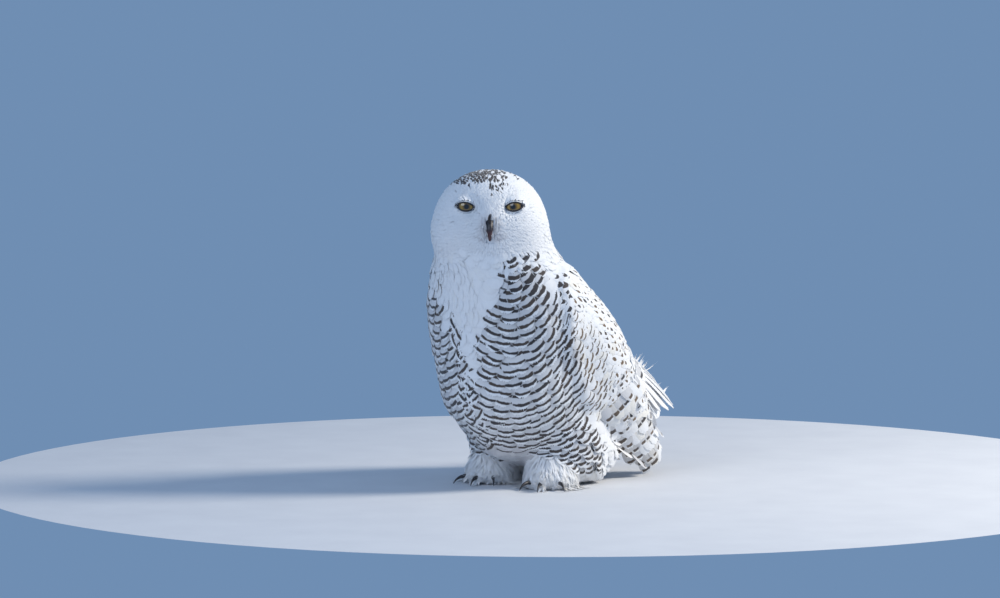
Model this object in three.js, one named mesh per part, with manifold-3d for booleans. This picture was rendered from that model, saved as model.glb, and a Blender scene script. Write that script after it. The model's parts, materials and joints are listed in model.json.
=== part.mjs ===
// A snowy owl standing still, life size, as a museum model.
// Millimetres, +Z up. The trunk faces -Y, the bird's left is +X, and the head is turned to its left.
import * as THREE from 'three';
import { LoftGeometry } from 'three/addons/geometries/LoftGeometry.js';
import { mergeGeometries, mergeVertices } from 'three/addons/utils/BufferGeometryUtils.js';
import Module from 'manifold-3d';

const wasm = await Module();
wasm.setup();

// ---- driving sizes ----
const headTurn = THREE.MathUtils.degToRad(38); // how far the face looks to the bird's left
const partGap = 0.3; // clearance between neighbouring pieces
const ringPoints = 28; // points round the trunk
const headRingPoints = 40;
const faceFocus = 0.42; // share by which the points draw together round the face

const skull = { y: -70, z: 384, rx: 79, ry: 72, rz: 71 };
const neck = { y: -60, z: 314, rx: 93, ry: 80, rz: 56 };
const chest = { y: -35, z: 248, rx: 124, ry: 94, rz: 104 };
const mantle = { y: 22, z: 238, rx: 96, ry: 84, rz: 64, tilt: -0.7 };
const belly = { y: 4, z: 157, rx: 114, ry: 128, rz: 118 };
const rump = { y: 104, z: 158, rx: 80, ry: 112, rz: 62, tilt: -0.52 };
const vent = { y: 34, z: 74, rx: 40, ry: 92, rz: 44, tilt: 0.1 }; // soft feathers that hang between the legs
const blendWidth = 36; // softness of the joins between those forms

const neckCuts = { head: 330, trunk: 292 }; // heights of the cuts above and below the neck

const eye = { x: 34.5, y: -46, z: 22, radius: 15 };
const bill = { rootY: -58, rootZ: 12, length: 41, width: 13, depth: 15 };

const thigh = { x: 62, y: 36, z: 82, rx: 48, ry: 64, rz: 74, tilt: 0.2 };
const skirt = { x: 66, y: 82, z: 31, rx: 36, ry: 62, rz: 31, tilt: -0.12 }; // loose feathers that hang behind the foot
const foot = { x: 54, y: 2, radii: [42, 41, 33, 23], ringHeight: 19 }; // radii of the feathered ankle, going up
const footTurn = { left: 0.42, right: 0.2 }; // turn of each foot about Z, towards the bird's left
const toe = { length: 51, rootRadius: 18, tipRadius: 13 };
const claw = { length: 25, radius: 4.2 };

const tail = { rootY: 128, rootZ: 205, length: 238, droop: 0.475, reach: 50, bow: 18 };
const featherThickness = 6; // twice the least thickness of a feathered sheet

// The folded wings lie on a barrel along the body, from the shoulders down and back to the tips.
const barrel = { y: -60, z: 300, pitch: 0.765, length: 415 };
const wingThickness = 16;
const wingProud = 5; // the least by which a wing stands out from the body

// ---- implicit forms: each is a function from a point to its distance outside the surface ----
const smoothUnion = (a, b, width) => {
  const h = Math.max(width - Math.abs(a - b), 0) / width;
  return Math.min(a, b) - (h * h * width) / 4;
};
const smoothCut = (a, b, width) => -smoothUnion(-a, b, width);

function ellipsoid({ x = 0, y = 0, z = 0, rx, ry, rz, tilt = 0, roll = 0 }) {
  const inverse = new THREE.Matrix4()
    .compose(
      new THREE.Vector3(x, y, z),
      new THREE.Quaternion().setFromEuler(new THREE.Euler(tilt, roll, 0)),
      new THREE.Vector3(1, 1, 1),
    )
    .invert();
  const q = new THREE.Vector3();
  return (p) => {
    q.copy(p).applyMatrix4(inverse);
    const near = Math.hypot(q.x / rx, q.y / ry, q.z / rz);
    const slope = Math.hypot(q.x / (rx * rx), q.y / (ry * ry), q.z / (rz * rz));
    return slope < 1e-9 ? -Math.min(rx, ry, rz) : (near * (near - 1)) / slope;
  };
}

// Face, in the head's own frame: looking along -Y, symmetric in x.
const headParts = {
  skull: ellipsoid({ rx: skull.rx, ry: skull.ry, rz: skull.rz }),
  cheek: ellipsoid({ x: 36, y: -24, z: -24, rx: 44, ry: 42, rz: 36 }),
  chin: ellipsoid({ y: -40, z: -38, rx: 34, ry: 30, rz: 24 }),
  bristles: ellipsoid({ y: -64, z: -6, rx: 15, ry: 13, rz: 26, tilt: -0.1 }),
  hollow: ellipsoid({ x: eye.x + 2, y: -84, z: eye.z - 1, rx: 26, ry: 20, rz: 17 }),
};
const localToHead = new THREE.Matrix4()
  .makeRotationZ(headTurn)
  .setPosition(0, skull.y, skull.z);
const headToLocal = localToHead.clone().invert();

function headForm(p) {
  const q = p.clone().applyMatrix4(headToLocal);
  q.x = Math.abs(q.x);
  let d = headParts.skull(q);
  d = smoothUnion(d, headParts.cheek(q), 30);
  d = smoothUnion(d, headParts.chin(q), 22);
  d = smoothUnion(d, headParts.bristles(q), 9);
  return smoothCut(d, headParts.hollow(q), 14);
}

const trunkForms = [neck, chest, mantle, belly, rump, vent].map(ellipsoid);
function bodyForm(p) {
  const trunk = trunkForms.reduce((d, form) => smoothUnion(d, form(p), blendWidth), Infinity);
  return smoothUnion(headForm(p), trunk, 24);
}

// ---- lofts ----
// The point where a ray from inside a form leaves it.
function surfacePoint(form, origin, direction, grow) {
  const at = (t) => origin.clone().addScaledVector(direction, t);
  let inner = 0;
  let outer = 3;
  while (form(at(outer)) < grow && outer < 400) {
    inner = outer;
    outer += 3;
  }
  for (let i = 0; i < 12; i++) {
    const middle = (inner + outer) / 2;
    if (form(at(middle)) < grow) inner = middle;
    else outer = middle;
  }
  return at(inner);
}

// A ring of points on a form, seen from origin. The rays leave the ring's plane by lift radians along its axis.
// With a focus, the points lie closer together round the face.
function ringOn(form, origin, axis, lift, count, grow, focus = 0) {
  const side = new THREE.Vector3(1, 0, 0);
  const ventral = new THREE.Vector3().crossVectors(side, axis).normalize();
  return Array.from({ length: count }, (_, i) => {
    const even = (i / count) * 2 * Math.PI;
    const angle = even - focus * Math.sin(even - headTurn);
    const direction = new THREE.Vector3()
      .addScaledVector(ventral, Math.cos(angle) * Math.cos(lift))
      .addScaledVector(side, Math.sin(angle) * Math.cos(lift))
      .addScaledVector(axis, Math.sin(lift));
    return surfacePoint(form, origin, direction, grow);
  });
}

// A tapered rod along a curve. section(t) gives the half width and half height; wide is the width's direction.
function rod(curve, section, wide, steps, sides) {
  const sections = [];
  for (let i = 0; i <= steps; i++) {
    const t = i / steps;
    const tangent = curve.getTangent(t);
    const across = wide.clone().addScaledVector(tangent, -wide.dot(tangent)).normalize();
    const up = new THREE.Vector3().crossVectors(tangent, across);
    const [width, height] = section(t);
    sections.push(
      Array.from({ length: sides }, (_, j) => {
        const angle = (j / sides) * 2 * Math.PI;
        return curve
          .getPoint(t)
          .addScaledVector(across, width * Math.cos(angle))
          .addScaledVector(up, height * Math.sin(angle));
      }),
    );
  }
  return new LoftGeometry(sections, { capStart: true, capEnd: true });
}

// ---- solids: closed meshes that can be joined and cut ----
function solid(geometry) {
  const bare = geometry.index ? geometry.toNonIndexed() : geometry.clone();
  bare.deleteAttribute('normal');
  bare.deleteAttribute('uv');
  const merged = mergeVertices(bare, 1e-3);
  const triVerts = new Uint32Array(merged.index.array);
  const vertProperties = new Float32Array(merged.attributes.position.array);
  return new wasm.Manifold(new wasm.Mesh({ numProp: 3, vertProperties, triVerts }));
}

function geometryOf(made) {
  const { vertProperties, triVerts, numProp } = made.getMesh();
  const positions = new Float32Array((vertProperties.length / numProp) * 3);
  for (let i = 0; i < positions.length / 3; i++) {
    positions.set(vertProperties.subarray(i * numProp, i * numProp + 3), i * 3);
  }
  const geometry = new THREE.BufferGeometry();
  geometry.setAttribute('position', new THREE.BufferAttribute(positions, 3));
  geometry.setIndex(new THREE.BufferAttribute(new Uint32Array(triVerts), 1));
  geometry.computeVertexNormals();
  return geometry;
}

const joined = (solids) => solids.reduce((all, one) => all.add(one));
const cutBy = (made, tools) => tools.reduce((left, tool) => left.subtract(tool), made);
const largest = (made) => made.decompose().sort((a, b) => b.volume() - a.volume())[0];
// A ring's mirror image, turned about so that it still runs the same way round.
const mirrored = (points) => points.map((p) => new THREE.Vector3(-p.x, p.y, p.z)).reverse();

// ---- head, neck and trunk: one surface, parted by level cuts ----
const down = new THREE.Vector3(0, 0, -1);
const headAxis = new THREE.Vector3(0, skull.y, skull.z);

function headSolid() {
  const rings = [];
  const domeSteps = 8;
  for (let i = 0; i < domeSteps; i++) {
    const lift = -THREE.MathUtils.degToRad(85) * (1 - i / domeSteps);
    rings.push(ringOn(bodyForm, headAxis, down, lift, headRingPoints, 0, faceFocus));
  }
  const lowerSteps = 5;
  const lowest = neckCuts.head + partGap / 2;
  for (let i = 0; i <= lowerSteps; i++) {
    const origin = headAxis.clone().setZ(THREE.MathUtils.lerp(skull.z, lowest, i / lowerSteps));
    rings.push(ringOn(bodyForm, origin, down, 0, headRingPoints, 0, faceFocus));
  }
  return solid(new LoftGeometry(rings, { capStart: true, capEnd: true }));
}

function neckSolid() {
  const rings = [];
  const steps = 2;
  for (let i = 0; i <= steps; i++) {
    const z = THREE.MathUtils.lerp(neckCuts.head - partGap / 2, neckCuts.trunk + partGap / 2, i / steps);
    const y = THREE.MathUtils.lerp(skull.y, -45, i / steps);
    rings.push(ringOn(bodyForm, new THREE.Vector3(0, y, z), down, 0, headRingPoints, 0));
  }
  return solid(new LoftGeometry(rings, { capStart: true, capEnd: true }));
}

const trunkSpine = new THREE.CatmullRomCurve3(
  [
    [-52, 318],
    [-46, 296],
    [-26, 250],
    [4, 208],
    [34, 168],
    [74, 140],
    [118, 128],
    [160, 122],
  ].map(([y, z]) => new THREE.Vector3(0, y, z)),
);

function trunkSolid() {
  const rings = [];
  const steps = 10;
  for (let i = 0; i <= steps; i++) {
    const t = i / steps;
    rings.push(ringOn(bodyForm, trunkSpine.getPoint(t), trunkSpine.getTangent(t), 0, ringPoints, 0));
  }
  const end = trunkSpine.getPoint(1);
  const endAxis = trunkSpine.getTangent(1);
  for (const lift of [0.4, 0.8, 1.1, 1.4]) {
    rings.push(ringOn(bodyForm, end, endAxis, lift, ringPoints, 0));
  }
  const below = new THREE.BoxGeometry(800, 1200, 600);
  below.translate(0, 0, neckCuts.trunk - partGap / 2 - 300);
  return solid(new LoftGeometry(rings, { capStart: true, capEnd: true })).intersect(solid(below));
}

// ---- feathered sheets ----
// A thin sheet that ends in a row of feather tips. place(share, t, depth) gives a point at a share of the way
// across and at t along, that far below the sheet's face. The shape's tips are the ends of the first and the
// last feather, and its notch is how far the gaps between feathers run back. Shares run to the left of the
// sheet's length, seen from outside, unless turned is set.
function featheredSheet(place, { start, tips, notch, feathers, thickness, steps }, grow, turned = false) {
  const columns = feathers * 2;
  const order = Array.from({ length: columns + 1 }, (_, j) => (turned ? j : columns - j));
  const row = (i, below) =>
    order.map((j) => {
      const across = j / columns;
      const end = THREE.MathUtils.lerp(tips[0], tips[1], across) - (j % 2 ? 0 : notch) + grow / 200;
      const taper = Math.sqrt(3 * across * (1 - across) + 0.25) * (1 - 0.5 * (i / steps));
      const depth = Math.max(thickness * taper, featherThickness / 2) + grow;
      const share = across + (across - 0.5) * (grow / 60);
      return place(share, THREE.MathUtils.lerp(start - grow / 200, end, i / steps), below ? depth : -grow);
    });
  const outer = Array.from({ length: steps + 1 }, (_, i) => row(i, false));
  const inner = outer.map((_, i) => row(i, true));
  const walls = new LoftGeometry(outer.map((points, i) => points.concat([...inner[i]].reverse())));
  const rootEnd = new LoftGeometry([inner[0], outer[0]], { closed: false });
  const tipEnd = new LoftGeometry([outer[steps], inner[steps]], { closed: false });
  return solid(mergeGeometries([walls, rootEnd, tipEnd]));
}

// ---- tail: a shallow tent of feathers, the outer ones shorter and lower ----
function tailPoint(share, t, depth) {
  const out = 2 * share - 1; // -1 at the right edge, 1 at the left
  const drop = tail.droop + 0.3 * Math.abs(out) ** 3;
  const face = new THREE.Vector3(1.5 * out * Math.abs(out), Math.sin(drop), Math.cos(drop)).normalize();
  const bow = tail.bow * Math.sin(Math.PI * t);
  return new THREE.Vector3(
    THREE.MathUtils.lerp(22, tail.reach, t) * out,
    tail.rootY + tail.length * t * Math.cos(drop),
    tail.rootZ - 12 * Math.abs(out) - tail.length * t * Math.sin(drop),
  ).addScaledVector(face, bow - depth);
}
const tailShape = { start: 0, tips: [1, 1], notch: 0.06, feathers: 7, thickness: 9, steps: 5 };

function tailSolid(grow) {
  const rounded = (share, t, depth) => tailPoint(share, t * (1 - 0.15 * (2 * share - 1) ** 2), depth);
  return featheredSheet(rounded, tailShape, grow, true);
}

// ---- wings, folded along the flanks ----
const barrelAlong = new THREE.Vector3(0, Math.cos(barrel.pitch), -Math.sin(barrel.pitch));
const barrelUp = new THREE.Vector3(0, Math.sin(barrel.pitch), Math.cos(barrel.pitch));

// A smooth curve through values given at even steps from 0 to 1.
function through(...values) {
  const curve = new THREE.CatmullRomCurve3(values.map((v, i) => new THREE.Vector3(i, v, 0)));
  return (t) => curve.getPoint(THREE.MathUtils.clamp(t, 0, 1)).y;
}
const barrelWidth = through(98, 126, 136, 131, 119, 98, 76); // half width in x
const barrelBack = through(56, 84, 86, 72, 56, 46, 46); // from the middle line up to the back
const barrelFront = through(70, 98, 118, 118, 100, 70, 40); // and down to the belly
const lowerEdge = through(0.1, -0.48, -0.65, -0.69, -0.68, -0.62, -0.2); // leading edge, as an angle
const upperEdge = through(0.35, 1.05, 1.25, 1.25, 1.1, 1.0, 1.05); // edge towards the back

// The point of a wing at t along the barrel, at a share of the way from the lower edge to the upper one.
function wingPoint(side, share, t, depth) {
  const angle = THREE.MathUtils.lerp(lowerEdge(t), upperEdge(t), share);
  const height = angle > 0 ? barrelBack(t) : barrelFront(t);
  const point = new THREE.Vector3(barrelWidth(t) * Math.cos(angle), barrel.y, barrel.z)
    .addScaledVector(barrelAlong, t * barrel.length)
    .addScaledVector(barrelUp, height * Math.sin(angle));
  const face = new THREE.Vector3(Math.cos(angle) / barrelWidth(t), 0, 0)
    .addScaledVector(barrelUp, Math.sin(angle) / height)
    .normalize();
  for (let i = 0; i < 4; i++) point.addScaledVector(face, Math.max(wingProud - bodyForm(point), 0));
  point.addScaledVector(face, -depth);
  point.x *= side;
  return point;
}

// Each wing is three sheets: the coverts over the roots of the flight feathers, and two rows of those.
const wingLayers = {
  coverts: {
    from: 0, to: 1, start: 0.02, tips: [0.64, 0.6], notch: 0.02, feathers: 4, inset: 0, thickness: wingThickness, steps: 8,
  },
  secondaries: {
    from: 0.56, to: 0.98, start: 0.5, tips: [0.9, 0.7], notch: 0.03, feathers: 4, inset: 5, thickness: 8, steps: 4,
  },
  primaries: {
    from: 0, to: 0.72, start: 0.54, tips: [1, 0.97], notch: 0.035, feathers: 5, inset: 7, thickness: 8, steps: 4,
  },
};

function wingLayer(side, { from, to, inset, ...shape }, grow) {
  const place = (share, t, depth) => wingPoint(side, THREE.MathUtils.lerp(from, to, share), t, inset + depth);
  return featheredSheet(place, shape, grow, side < 0);
}

// ---- legs: thighs in loose feathers, and feathered feet ----
function thighSolid(side, grow) {
  const [upper, lower] = [thigh, skirt].map((sizes) => ellipsoid({ ...sizes, x: sizes.x * side }));
  const form = (p) => smoothUnion(upper(p), lower(p), 24);
  const centre = new THREE.Vector3(thigh.x * side, thigh.y, thigh.z);
  const rings = [];
  const steps = 6;
  for (let i = 0; i <= steps; i++) {
    const lift = THREE.MathUtils.degToRad(84) * (2 * (i / steps) - 1);
    rings.push(ringOn(form, centre, down, lift, 16, grow));
  }
  return solid(new LoftGeometry(rings, { capStart: true, capEnd: true }));
}

const toes = [
  { turn: 0.5, reach: 0.92 }, // inner
  { turn: 0.02, reach: 1.05 }, // middle
  { turn: -0.55, reach: 0.92 }, // outer
  { turn: Math.PI - 0.3, reach: 0.62 }, // hind
];

// A toe's heading, level, before the foot is turned; side mirrors inner and outer.
function toeDirection(side, turn) {
  const yaw = (side > 0 ? footTurn.left : footTurn.right) - side * turn;
  return new THREE.Vector3(Math.sin(yaw), -Math.cos(yaw), 0);
}
const ankle = (side) => new THREE.Vector3(foot.x * side, foot.y - 2 * side, 0);

function footSolid(side, grow) {
  const centre = ankle(side);
  const mound = foot.radii.map((radius, i) => new THREE.Vector2(radius + grow, i * foot.ringHeight));
  const profile = [new THREE.Vector2(0, -5), mound[0].clone().setY(-5), ...mound, new THREE.Vector2(0, mound.at(-1).y)];
  const leg = new THREE.LatheGeometry(profile, 10);
  leg.rotateX(Math.PI / 2).translate(centre.x, centre.y, 0);
  const pieces = [solid(leg)];
  for (const { turn, reach } of toes) {
    const heading = toeDirection(side, turn);
    const length = toe.length * reach;
    const curve = new THREE.QuadraticBezierCurve3(
      centre.clone().setZ(15),
      centre.clone().addScaledVector(heading, length * 0.6).setZ(17),
      centre.clone().addScaledVector(heading, length).setZ(8.5),
    );
    const section = (t) => {
      const r = THREE.MathUtils.lerp(toe.rootRadius, toe.tipRadius, t);
      const end = Math.sqrt(Math.max(1 - Math.max((t - 0.86) / 0.14, 0) ** 2, 0.12));
      return [r * end + grow, r * end * 0.92 + grow];
    };
    pieces.push(solid(rod(curve, section, new THREE.Vector3(0, 0, 1).cross(heading), 4, 7)));
  }
  return joined(pieces);
}

function clawSolid(side, { turn, reach }, grow) {
  const heading = toeDirection(side, turn);
  const root = ankle(side).addScaledVector(heading, toe.length * reach - 7).setZ(10);
  const long = claw.length * (reach < 0.7 ? 0.8 : 1);
  const curve = new THREE.QuadraticBezierCurve3(
    root,
    root.clone().addScaledVector(heading, long * 0.75).setZ(13),
    root.clone().addScaledVector(heading, long).setZ(1.2),
  );
  const section = (t) => {
    const r = claw.radius * (1 - 0.86 * t) + grow;
    return [r * 0.85, r];
  };
  return solid(rod(curve, section, new THREE.Vector3(0, 0, 1).cross(heading), 4, 5));
}

// ---- bill and eyes, in the head's frame ----
function billSolid(upper, grow) {
  const root = new THREE.Vector3(0, bill.rootY + 6, bill.rootZ - (upper ? 6 : 17));
  const tip = upper
    ? new THREE.Vector3(0, bill.rootY - 15, bill.rootZ - bill.length + 4)
    : new THREE.Vector3(0, bill.rootY - 9, bill.rootZ - bill.length + 9);
  const middle = upper
    ? new THREE.Vector3(0, bill.rootY - 26, bill.rootZ - 12)
    : new THREE.Vector3(0, bill.rootY - 10, bill.rootZ - 24);
  const curve = new THREE.QuadraticBezierCurve3(root, middle, tip);
  const section = (t) => {
    const taper = Math.sqrt(1 - 0.96 * t * t);
    const size = upper ? 1 : 0.55;
    return [(bill.width / 2) * taper * (upper ? 1 : 0.8) + grow, (bill.depth / 2) * taper * size + grow];
  };
  return solid(rod(curve, section, new THREE.Vector3(1, 0, 0), 5, 8).applyMatrix4(localToHead));
}

function eyeSolid(side, grow) {
  const ball = new THREE.SphereGeometry(eye.radius + grow, 12, 8);
  ball.rotateX(Math.PI / 2).translate(eye.x * side, eye.y, eye.z);
  return solid(ball.applyMatrix4(localToHead));
}

// ---- materials ----
const finish = (color, roughness, metalness = 0) => new THREE.MeshStandardMaterial({ color, roughness, metalness });
const plumage = finish(0xf1f0ec, 0.9);
const barred = finish(0xc9c5c0, 0.9);
const horn = finish(0x17161a, 0.35);
const iris = finish(0xd9a016, 0.1);

// ---- assembly ----
const owl = new THREE.Group();
owl.name = 'snowy_owl';
function addPiece(name, made, material) {
  const mesh = new THREE.Mesh(geometryOf(largest(made)), material);
  mesh.name = name;
  owl.add(mesh);
}

const sides = [
  { label: 'left', sign: 1 },
  { label: 'right', sign: -1 },
];
const both = (make) => sides.map(({ sign }) => make(sign));

const floorBlock = solid(new THREE.BoxGeometry(1200, 1200, 100).translate(0, 0, -50));
const bills = [billSolid(true, partGap), billSolid(false, partGap)];
addPiece('head', cutBy(headSolid(), [...both((s) => eyeSolid(s, partGap)), ...bills]), plumage);
addPiece('bill_upper', billSolid(true, 0), horn);
addPiece('bill_lower', cutBy(billSolid(false, 0), [billSolid(true, partGap)]), horn);

const wingSolids = (side, grow) => Object.values(wingLayers).map((layer) => wingLayer(side, layer, grow));
const wingTools = [...wingSolids(1, partGap), ...wingSolids(-1, partGap)];
const thighTools = both((s) => thighSolid(s, partGap));
const footTools = both((s) => footSolid(s, partGap));
const tailTool = tailSolid(partGap);
addPiece('neck', cutBy(neckSolid(), wingTools), plumage);
addPiece('trunk', cutBy(trunkSolid(), [...wingTools, ...thighTools, ...footTools, tailTool]), barred);
addPiece('tail', cutBy(tailSolid(0), wingTools), plumage);

for (const { label, sign } of sides) {
  addPiece(`eye_${label}`, eyeSolid(sign, 0), iris);
  const above = [];
  for (const [row, layer] of Object.entries(wingLayers)) {
    addPiece(`wing_${label}_${row}`, cutBy(wingLayer(sign, layer, 0), above), plumage);
    above.push(wingLayer(sign, layer, partGap));
  }
  const footTool = footSolid(sign, partGap);
  const clawTools = toes.map((t) => clawSolid(sign, t, partGap));
  addPiece(
    `thigh_${label}`,
    cutBy(thighSolid(sign, 0), [footTool, floorBlock, ...clawTools, ...wingTools]),
    barred,
  );
  addPiece(`foot_${label}`, cutBy(footSolid(sign, 0), [floorBlock, ...clawTools]), plumage);
  ['inner', 'middle', 'outer', 'hind'].forEach((which, i) => {
    addPiece(`claw_${label}_${which}`, clawSolid(sign, toes[i], 0), horn);
  });
}

// The origin is on the floor, below the middle of the model.
const reach = new THREE.Box3().setFromObject(owl);
const middle = reach.getCenter(new THREE.Vector3());
owl.position.set(-middle.x, -middle.y, 0);

export default owl;
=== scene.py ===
# A snowy owl standing still, life size: its skin, coat of feathers, eyes, bill, claws and a plain studio.
# Metres, +Z up. The trunk faces -Y, the bird's left is +X, and the head is turned to its left.
import itertools
import json
import math

import bmesh
import bpy
import numpy as np
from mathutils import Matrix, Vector
from mathutils.bvhtree import BVHTree


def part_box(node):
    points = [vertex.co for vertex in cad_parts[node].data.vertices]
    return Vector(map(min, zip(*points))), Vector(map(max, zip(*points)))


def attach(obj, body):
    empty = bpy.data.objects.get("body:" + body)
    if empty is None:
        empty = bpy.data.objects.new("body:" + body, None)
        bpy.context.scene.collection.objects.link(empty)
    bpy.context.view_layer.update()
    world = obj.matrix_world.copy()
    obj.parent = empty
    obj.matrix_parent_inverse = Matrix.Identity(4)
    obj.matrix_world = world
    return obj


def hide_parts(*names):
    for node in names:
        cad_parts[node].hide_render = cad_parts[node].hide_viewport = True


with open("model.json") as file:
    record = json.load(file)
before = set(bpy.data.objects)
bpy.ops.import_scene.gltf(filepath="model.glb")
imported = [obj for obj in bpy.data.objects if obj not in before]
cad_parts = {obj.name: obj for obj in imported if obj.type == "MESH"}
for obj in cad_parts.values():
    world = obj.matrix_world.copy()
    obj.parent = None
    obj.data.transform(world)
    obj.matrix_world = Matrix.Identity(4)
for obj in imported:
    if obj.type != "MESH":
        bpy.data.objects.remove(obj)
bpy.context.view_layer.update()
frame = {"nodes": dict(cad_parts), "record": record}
random = np.random.default_rng(11)
nodes = frame["nodes"]


# places that the rest is worked out from
def boxCentre(name):
    low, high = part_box(name)
    return (Vector(low) + Vector(high)) / 2


upward = Vector((0, 0, 1))
eyeCentres = {side: boxCentre(f"eye_{side}") for side in ("left", "right")}
eyeRadius = (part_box("eye_left")[1][2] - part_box("eye_left")[0][2]) / 2
eyeMiddle = (eyeCentres["left"] + eyeCentres["right"]) / 2
headAcross = (eyeCentres["left"] - eyeCentres["right"]).normalized()  # towards the bird's left
headForward = headAcross.cross(upward)  # the way that the face looks
headCentre = eyeMiddle - headForward * 0.046 - upward * 0.022
ankleY = frame["record"]["mounts"][0]["pos_m"][1]
trunkAxisY = ankleY - 0.03  # the trunk's upright middle line, level with the breast

# small tools for arrays of points
def unit(vectors):
    return vectors / np.maximum(np.linalg.norm(vectors, axis=-1, keepdims=True), 1e-12)


def dots(a, b):
    return (a * b).sum(-1, keepdims=True)


def ramp(values, low, high):  # 0 below low, 1 above high, smooth between; high may be the smaller
    t = np.clip((values - low) / (high - low), 0, 1)
    return t * t * (3 - 2 * t)


def aroundTrunk(points):  # degrees, 0 ahead and 90 at the bird's left
    return np.degrees(np.arctan2(points[:, 0], trunkAxisY - points[:, 1]))


def meshPoints(mesh):
    points = np.empty(len(mesh.vertices) * 3)
    mesh.vertices.foreach_get("co", points)
    return points.reshape(-1, 3)


def meshNormals(mesh):
    normals = np.empty(len(mesh.vertices) * 3)
    mesh.vertex_normals.foreach_get("vector", normals)
    return normals.reshape(-1, 3)


def meshTriangles(mesh):
    mesh.calc_loop_triangles()
    corners = np.empty(len(mesh.loop_triangles) * 3, np.int32)
    mesh.loop_triangles.foreach_get("vertices", corners)
    return corners.reshape(-1, 3)


def meshFrom(shape, name):  # a bmesh made into a mesh, and freed
    mesh = bpy.data.meshes.new(name)
    shape.to_mesh(mesh)
    shape.free()
    return mesh


def asObject(mesh, name):
    piece = bpy.data.objects.new(name, mesh)
    bpy.context.scene.collection.objects.link(piece)
    return piece


def finished(piece, slot, *replaced):
    for polygon in piece.data.polygons:
        polygon.use_smooth = True
    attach(piece, "root")
    if replaced:
        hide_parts(*replaced)
    return piece


def withModifiers(piece, *modifiers):  # the mesh of a piece after (kind, settings) modifiers
    for kind, settings in modifiers:
        made = piece.modifiers.new(kind.lower(), kind)
        for key, value in settings.items():
            setattr(made, key, value)
    shape = piece.evaluated_get(bpy.context.evaluated_depsgraph_get())
    mesh = bpy.data.meshes.new_from_object(shape)
    piece.modifiers.clear()
    return mesh


# materials
class Recipe:  # a procedural material, built by short sums of nodes
    def __init__(self, name, **sockets):
        self.material = bpy.data.materials.new(name)
        self.material.use_nodes = True
        self.tree = self.material.node_tree
        self.shader = self.tree.nodes["Principled BSDF"]
        for key, value in sockets.items():
            self.shader.inputs[key.replace("_", " ")].default_value = value

    def node(self, kind, inputs=(), **settings):
        made = self.tree.nodes.new("ShaderNode" + kind)
        for key, value in settings.items():
            setattr(made, key, value)
        for key, value in dict(inputs).items():
            if isinstance(value, bpy.types.NodeSocket):
                self.tree.links.new(value, made.inputs[key])
            else:
                made.inputs[key].default_value = value
        return made

    def sum(self, operation, *values, clamp=False):
        return self.node("Math", enumerate(values), operation=operation, use_clamp=clamp).outputs[0]

    def times(self, *values, **extra):
        return self.sum("MULTIPLY", *values, **extra)

    def plus(self, *values):
        return self.sum("ADD", *values)

    def minus(self, *values):
        return self.sum("SUBTRACT", *values)

    def scaled(self, value, scale, shift):
        return self.sum("MULTIPLY_ADD", value, scale, shift)

    def larger(self, *values):
        return self.sum("MAXIMUM", *values)

    def attribute(self, name):
        return self.node("Attribute", attribute_name=name).outputs["Fac"]

    def band(self, value, low, high, start=0.0, end=1.0):  # smooth step from low to high
        inputs = {"Value": value, "From Min": low, "From Max": high, "To Min": start, "To Max": end}
        return self.node("MapRange", inputs, interpolation_type="SMOOTHSTEP").outputs["Result"]

    def noise(self, vector, scale, detail=2.0):
        return self.node("TexNoise", {"Vector": vector, "Scale": scale, "Detail": detail}).outputs["Fac"]

    def mixed(self, amount, first, second):
        inputs = {"Factor": amount, "A": first, "B": second}
        made = self.node("Mix", data_type="RGBA")
        for key, value in inputs.items():
            socket = next(s for s in made.inputs if s.name == key and s.enabled)
            if isinstance(value, bpy.types.NodeSocket):
                self.tree.links.new(value, socket)
            else:
                socket.default_value = value
        return next(s for s in made.outputs if s.enabled)

    def into(self, socket, value):
        self.tree.links.new(value, self.shader.inputs[socket])

    def bump(self, height, strength, distance):
        inputs = {"Height": height, "Strength": strength, "Distance": distance}
        self.into("Normal", self.node("Bump", inputs).outputs["Normal"])


plumeColours = dict(
    white=(0.86, 0.865, 0.875, 1),
    cream=(0.84, 0.81, 0.75, 1),
    shade=(0.66, 0.67, 0.70, 1),
    bar=(0.022, 0.019, 0.022, 1),
    umber=(0.16, 0.095, 0.045, 1),
    vaneUnit=0.05,  # metres of feather to one unit of the Vane map, up from the tip
    # pinkish-grey tint, and painted shade along the gape's line and in the crease over each eye
    blush=(0.17, 0.115, 0.125, 1),
    # olive-brown, painted shade on the lowest primaries
    olive=(0.24, 0.18, 0.10, 1),
    grey=(0.40, 0.40, 0.42, 1),
    barAt=0.0046,
    barHalf=0.0021,
    barStep=0.012,
    bow=0.0028,  # how far bars bend at the feather's edges
    spotAt=0.0075, spotLong=0.0042, spotWide=0.24,
)


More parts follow.
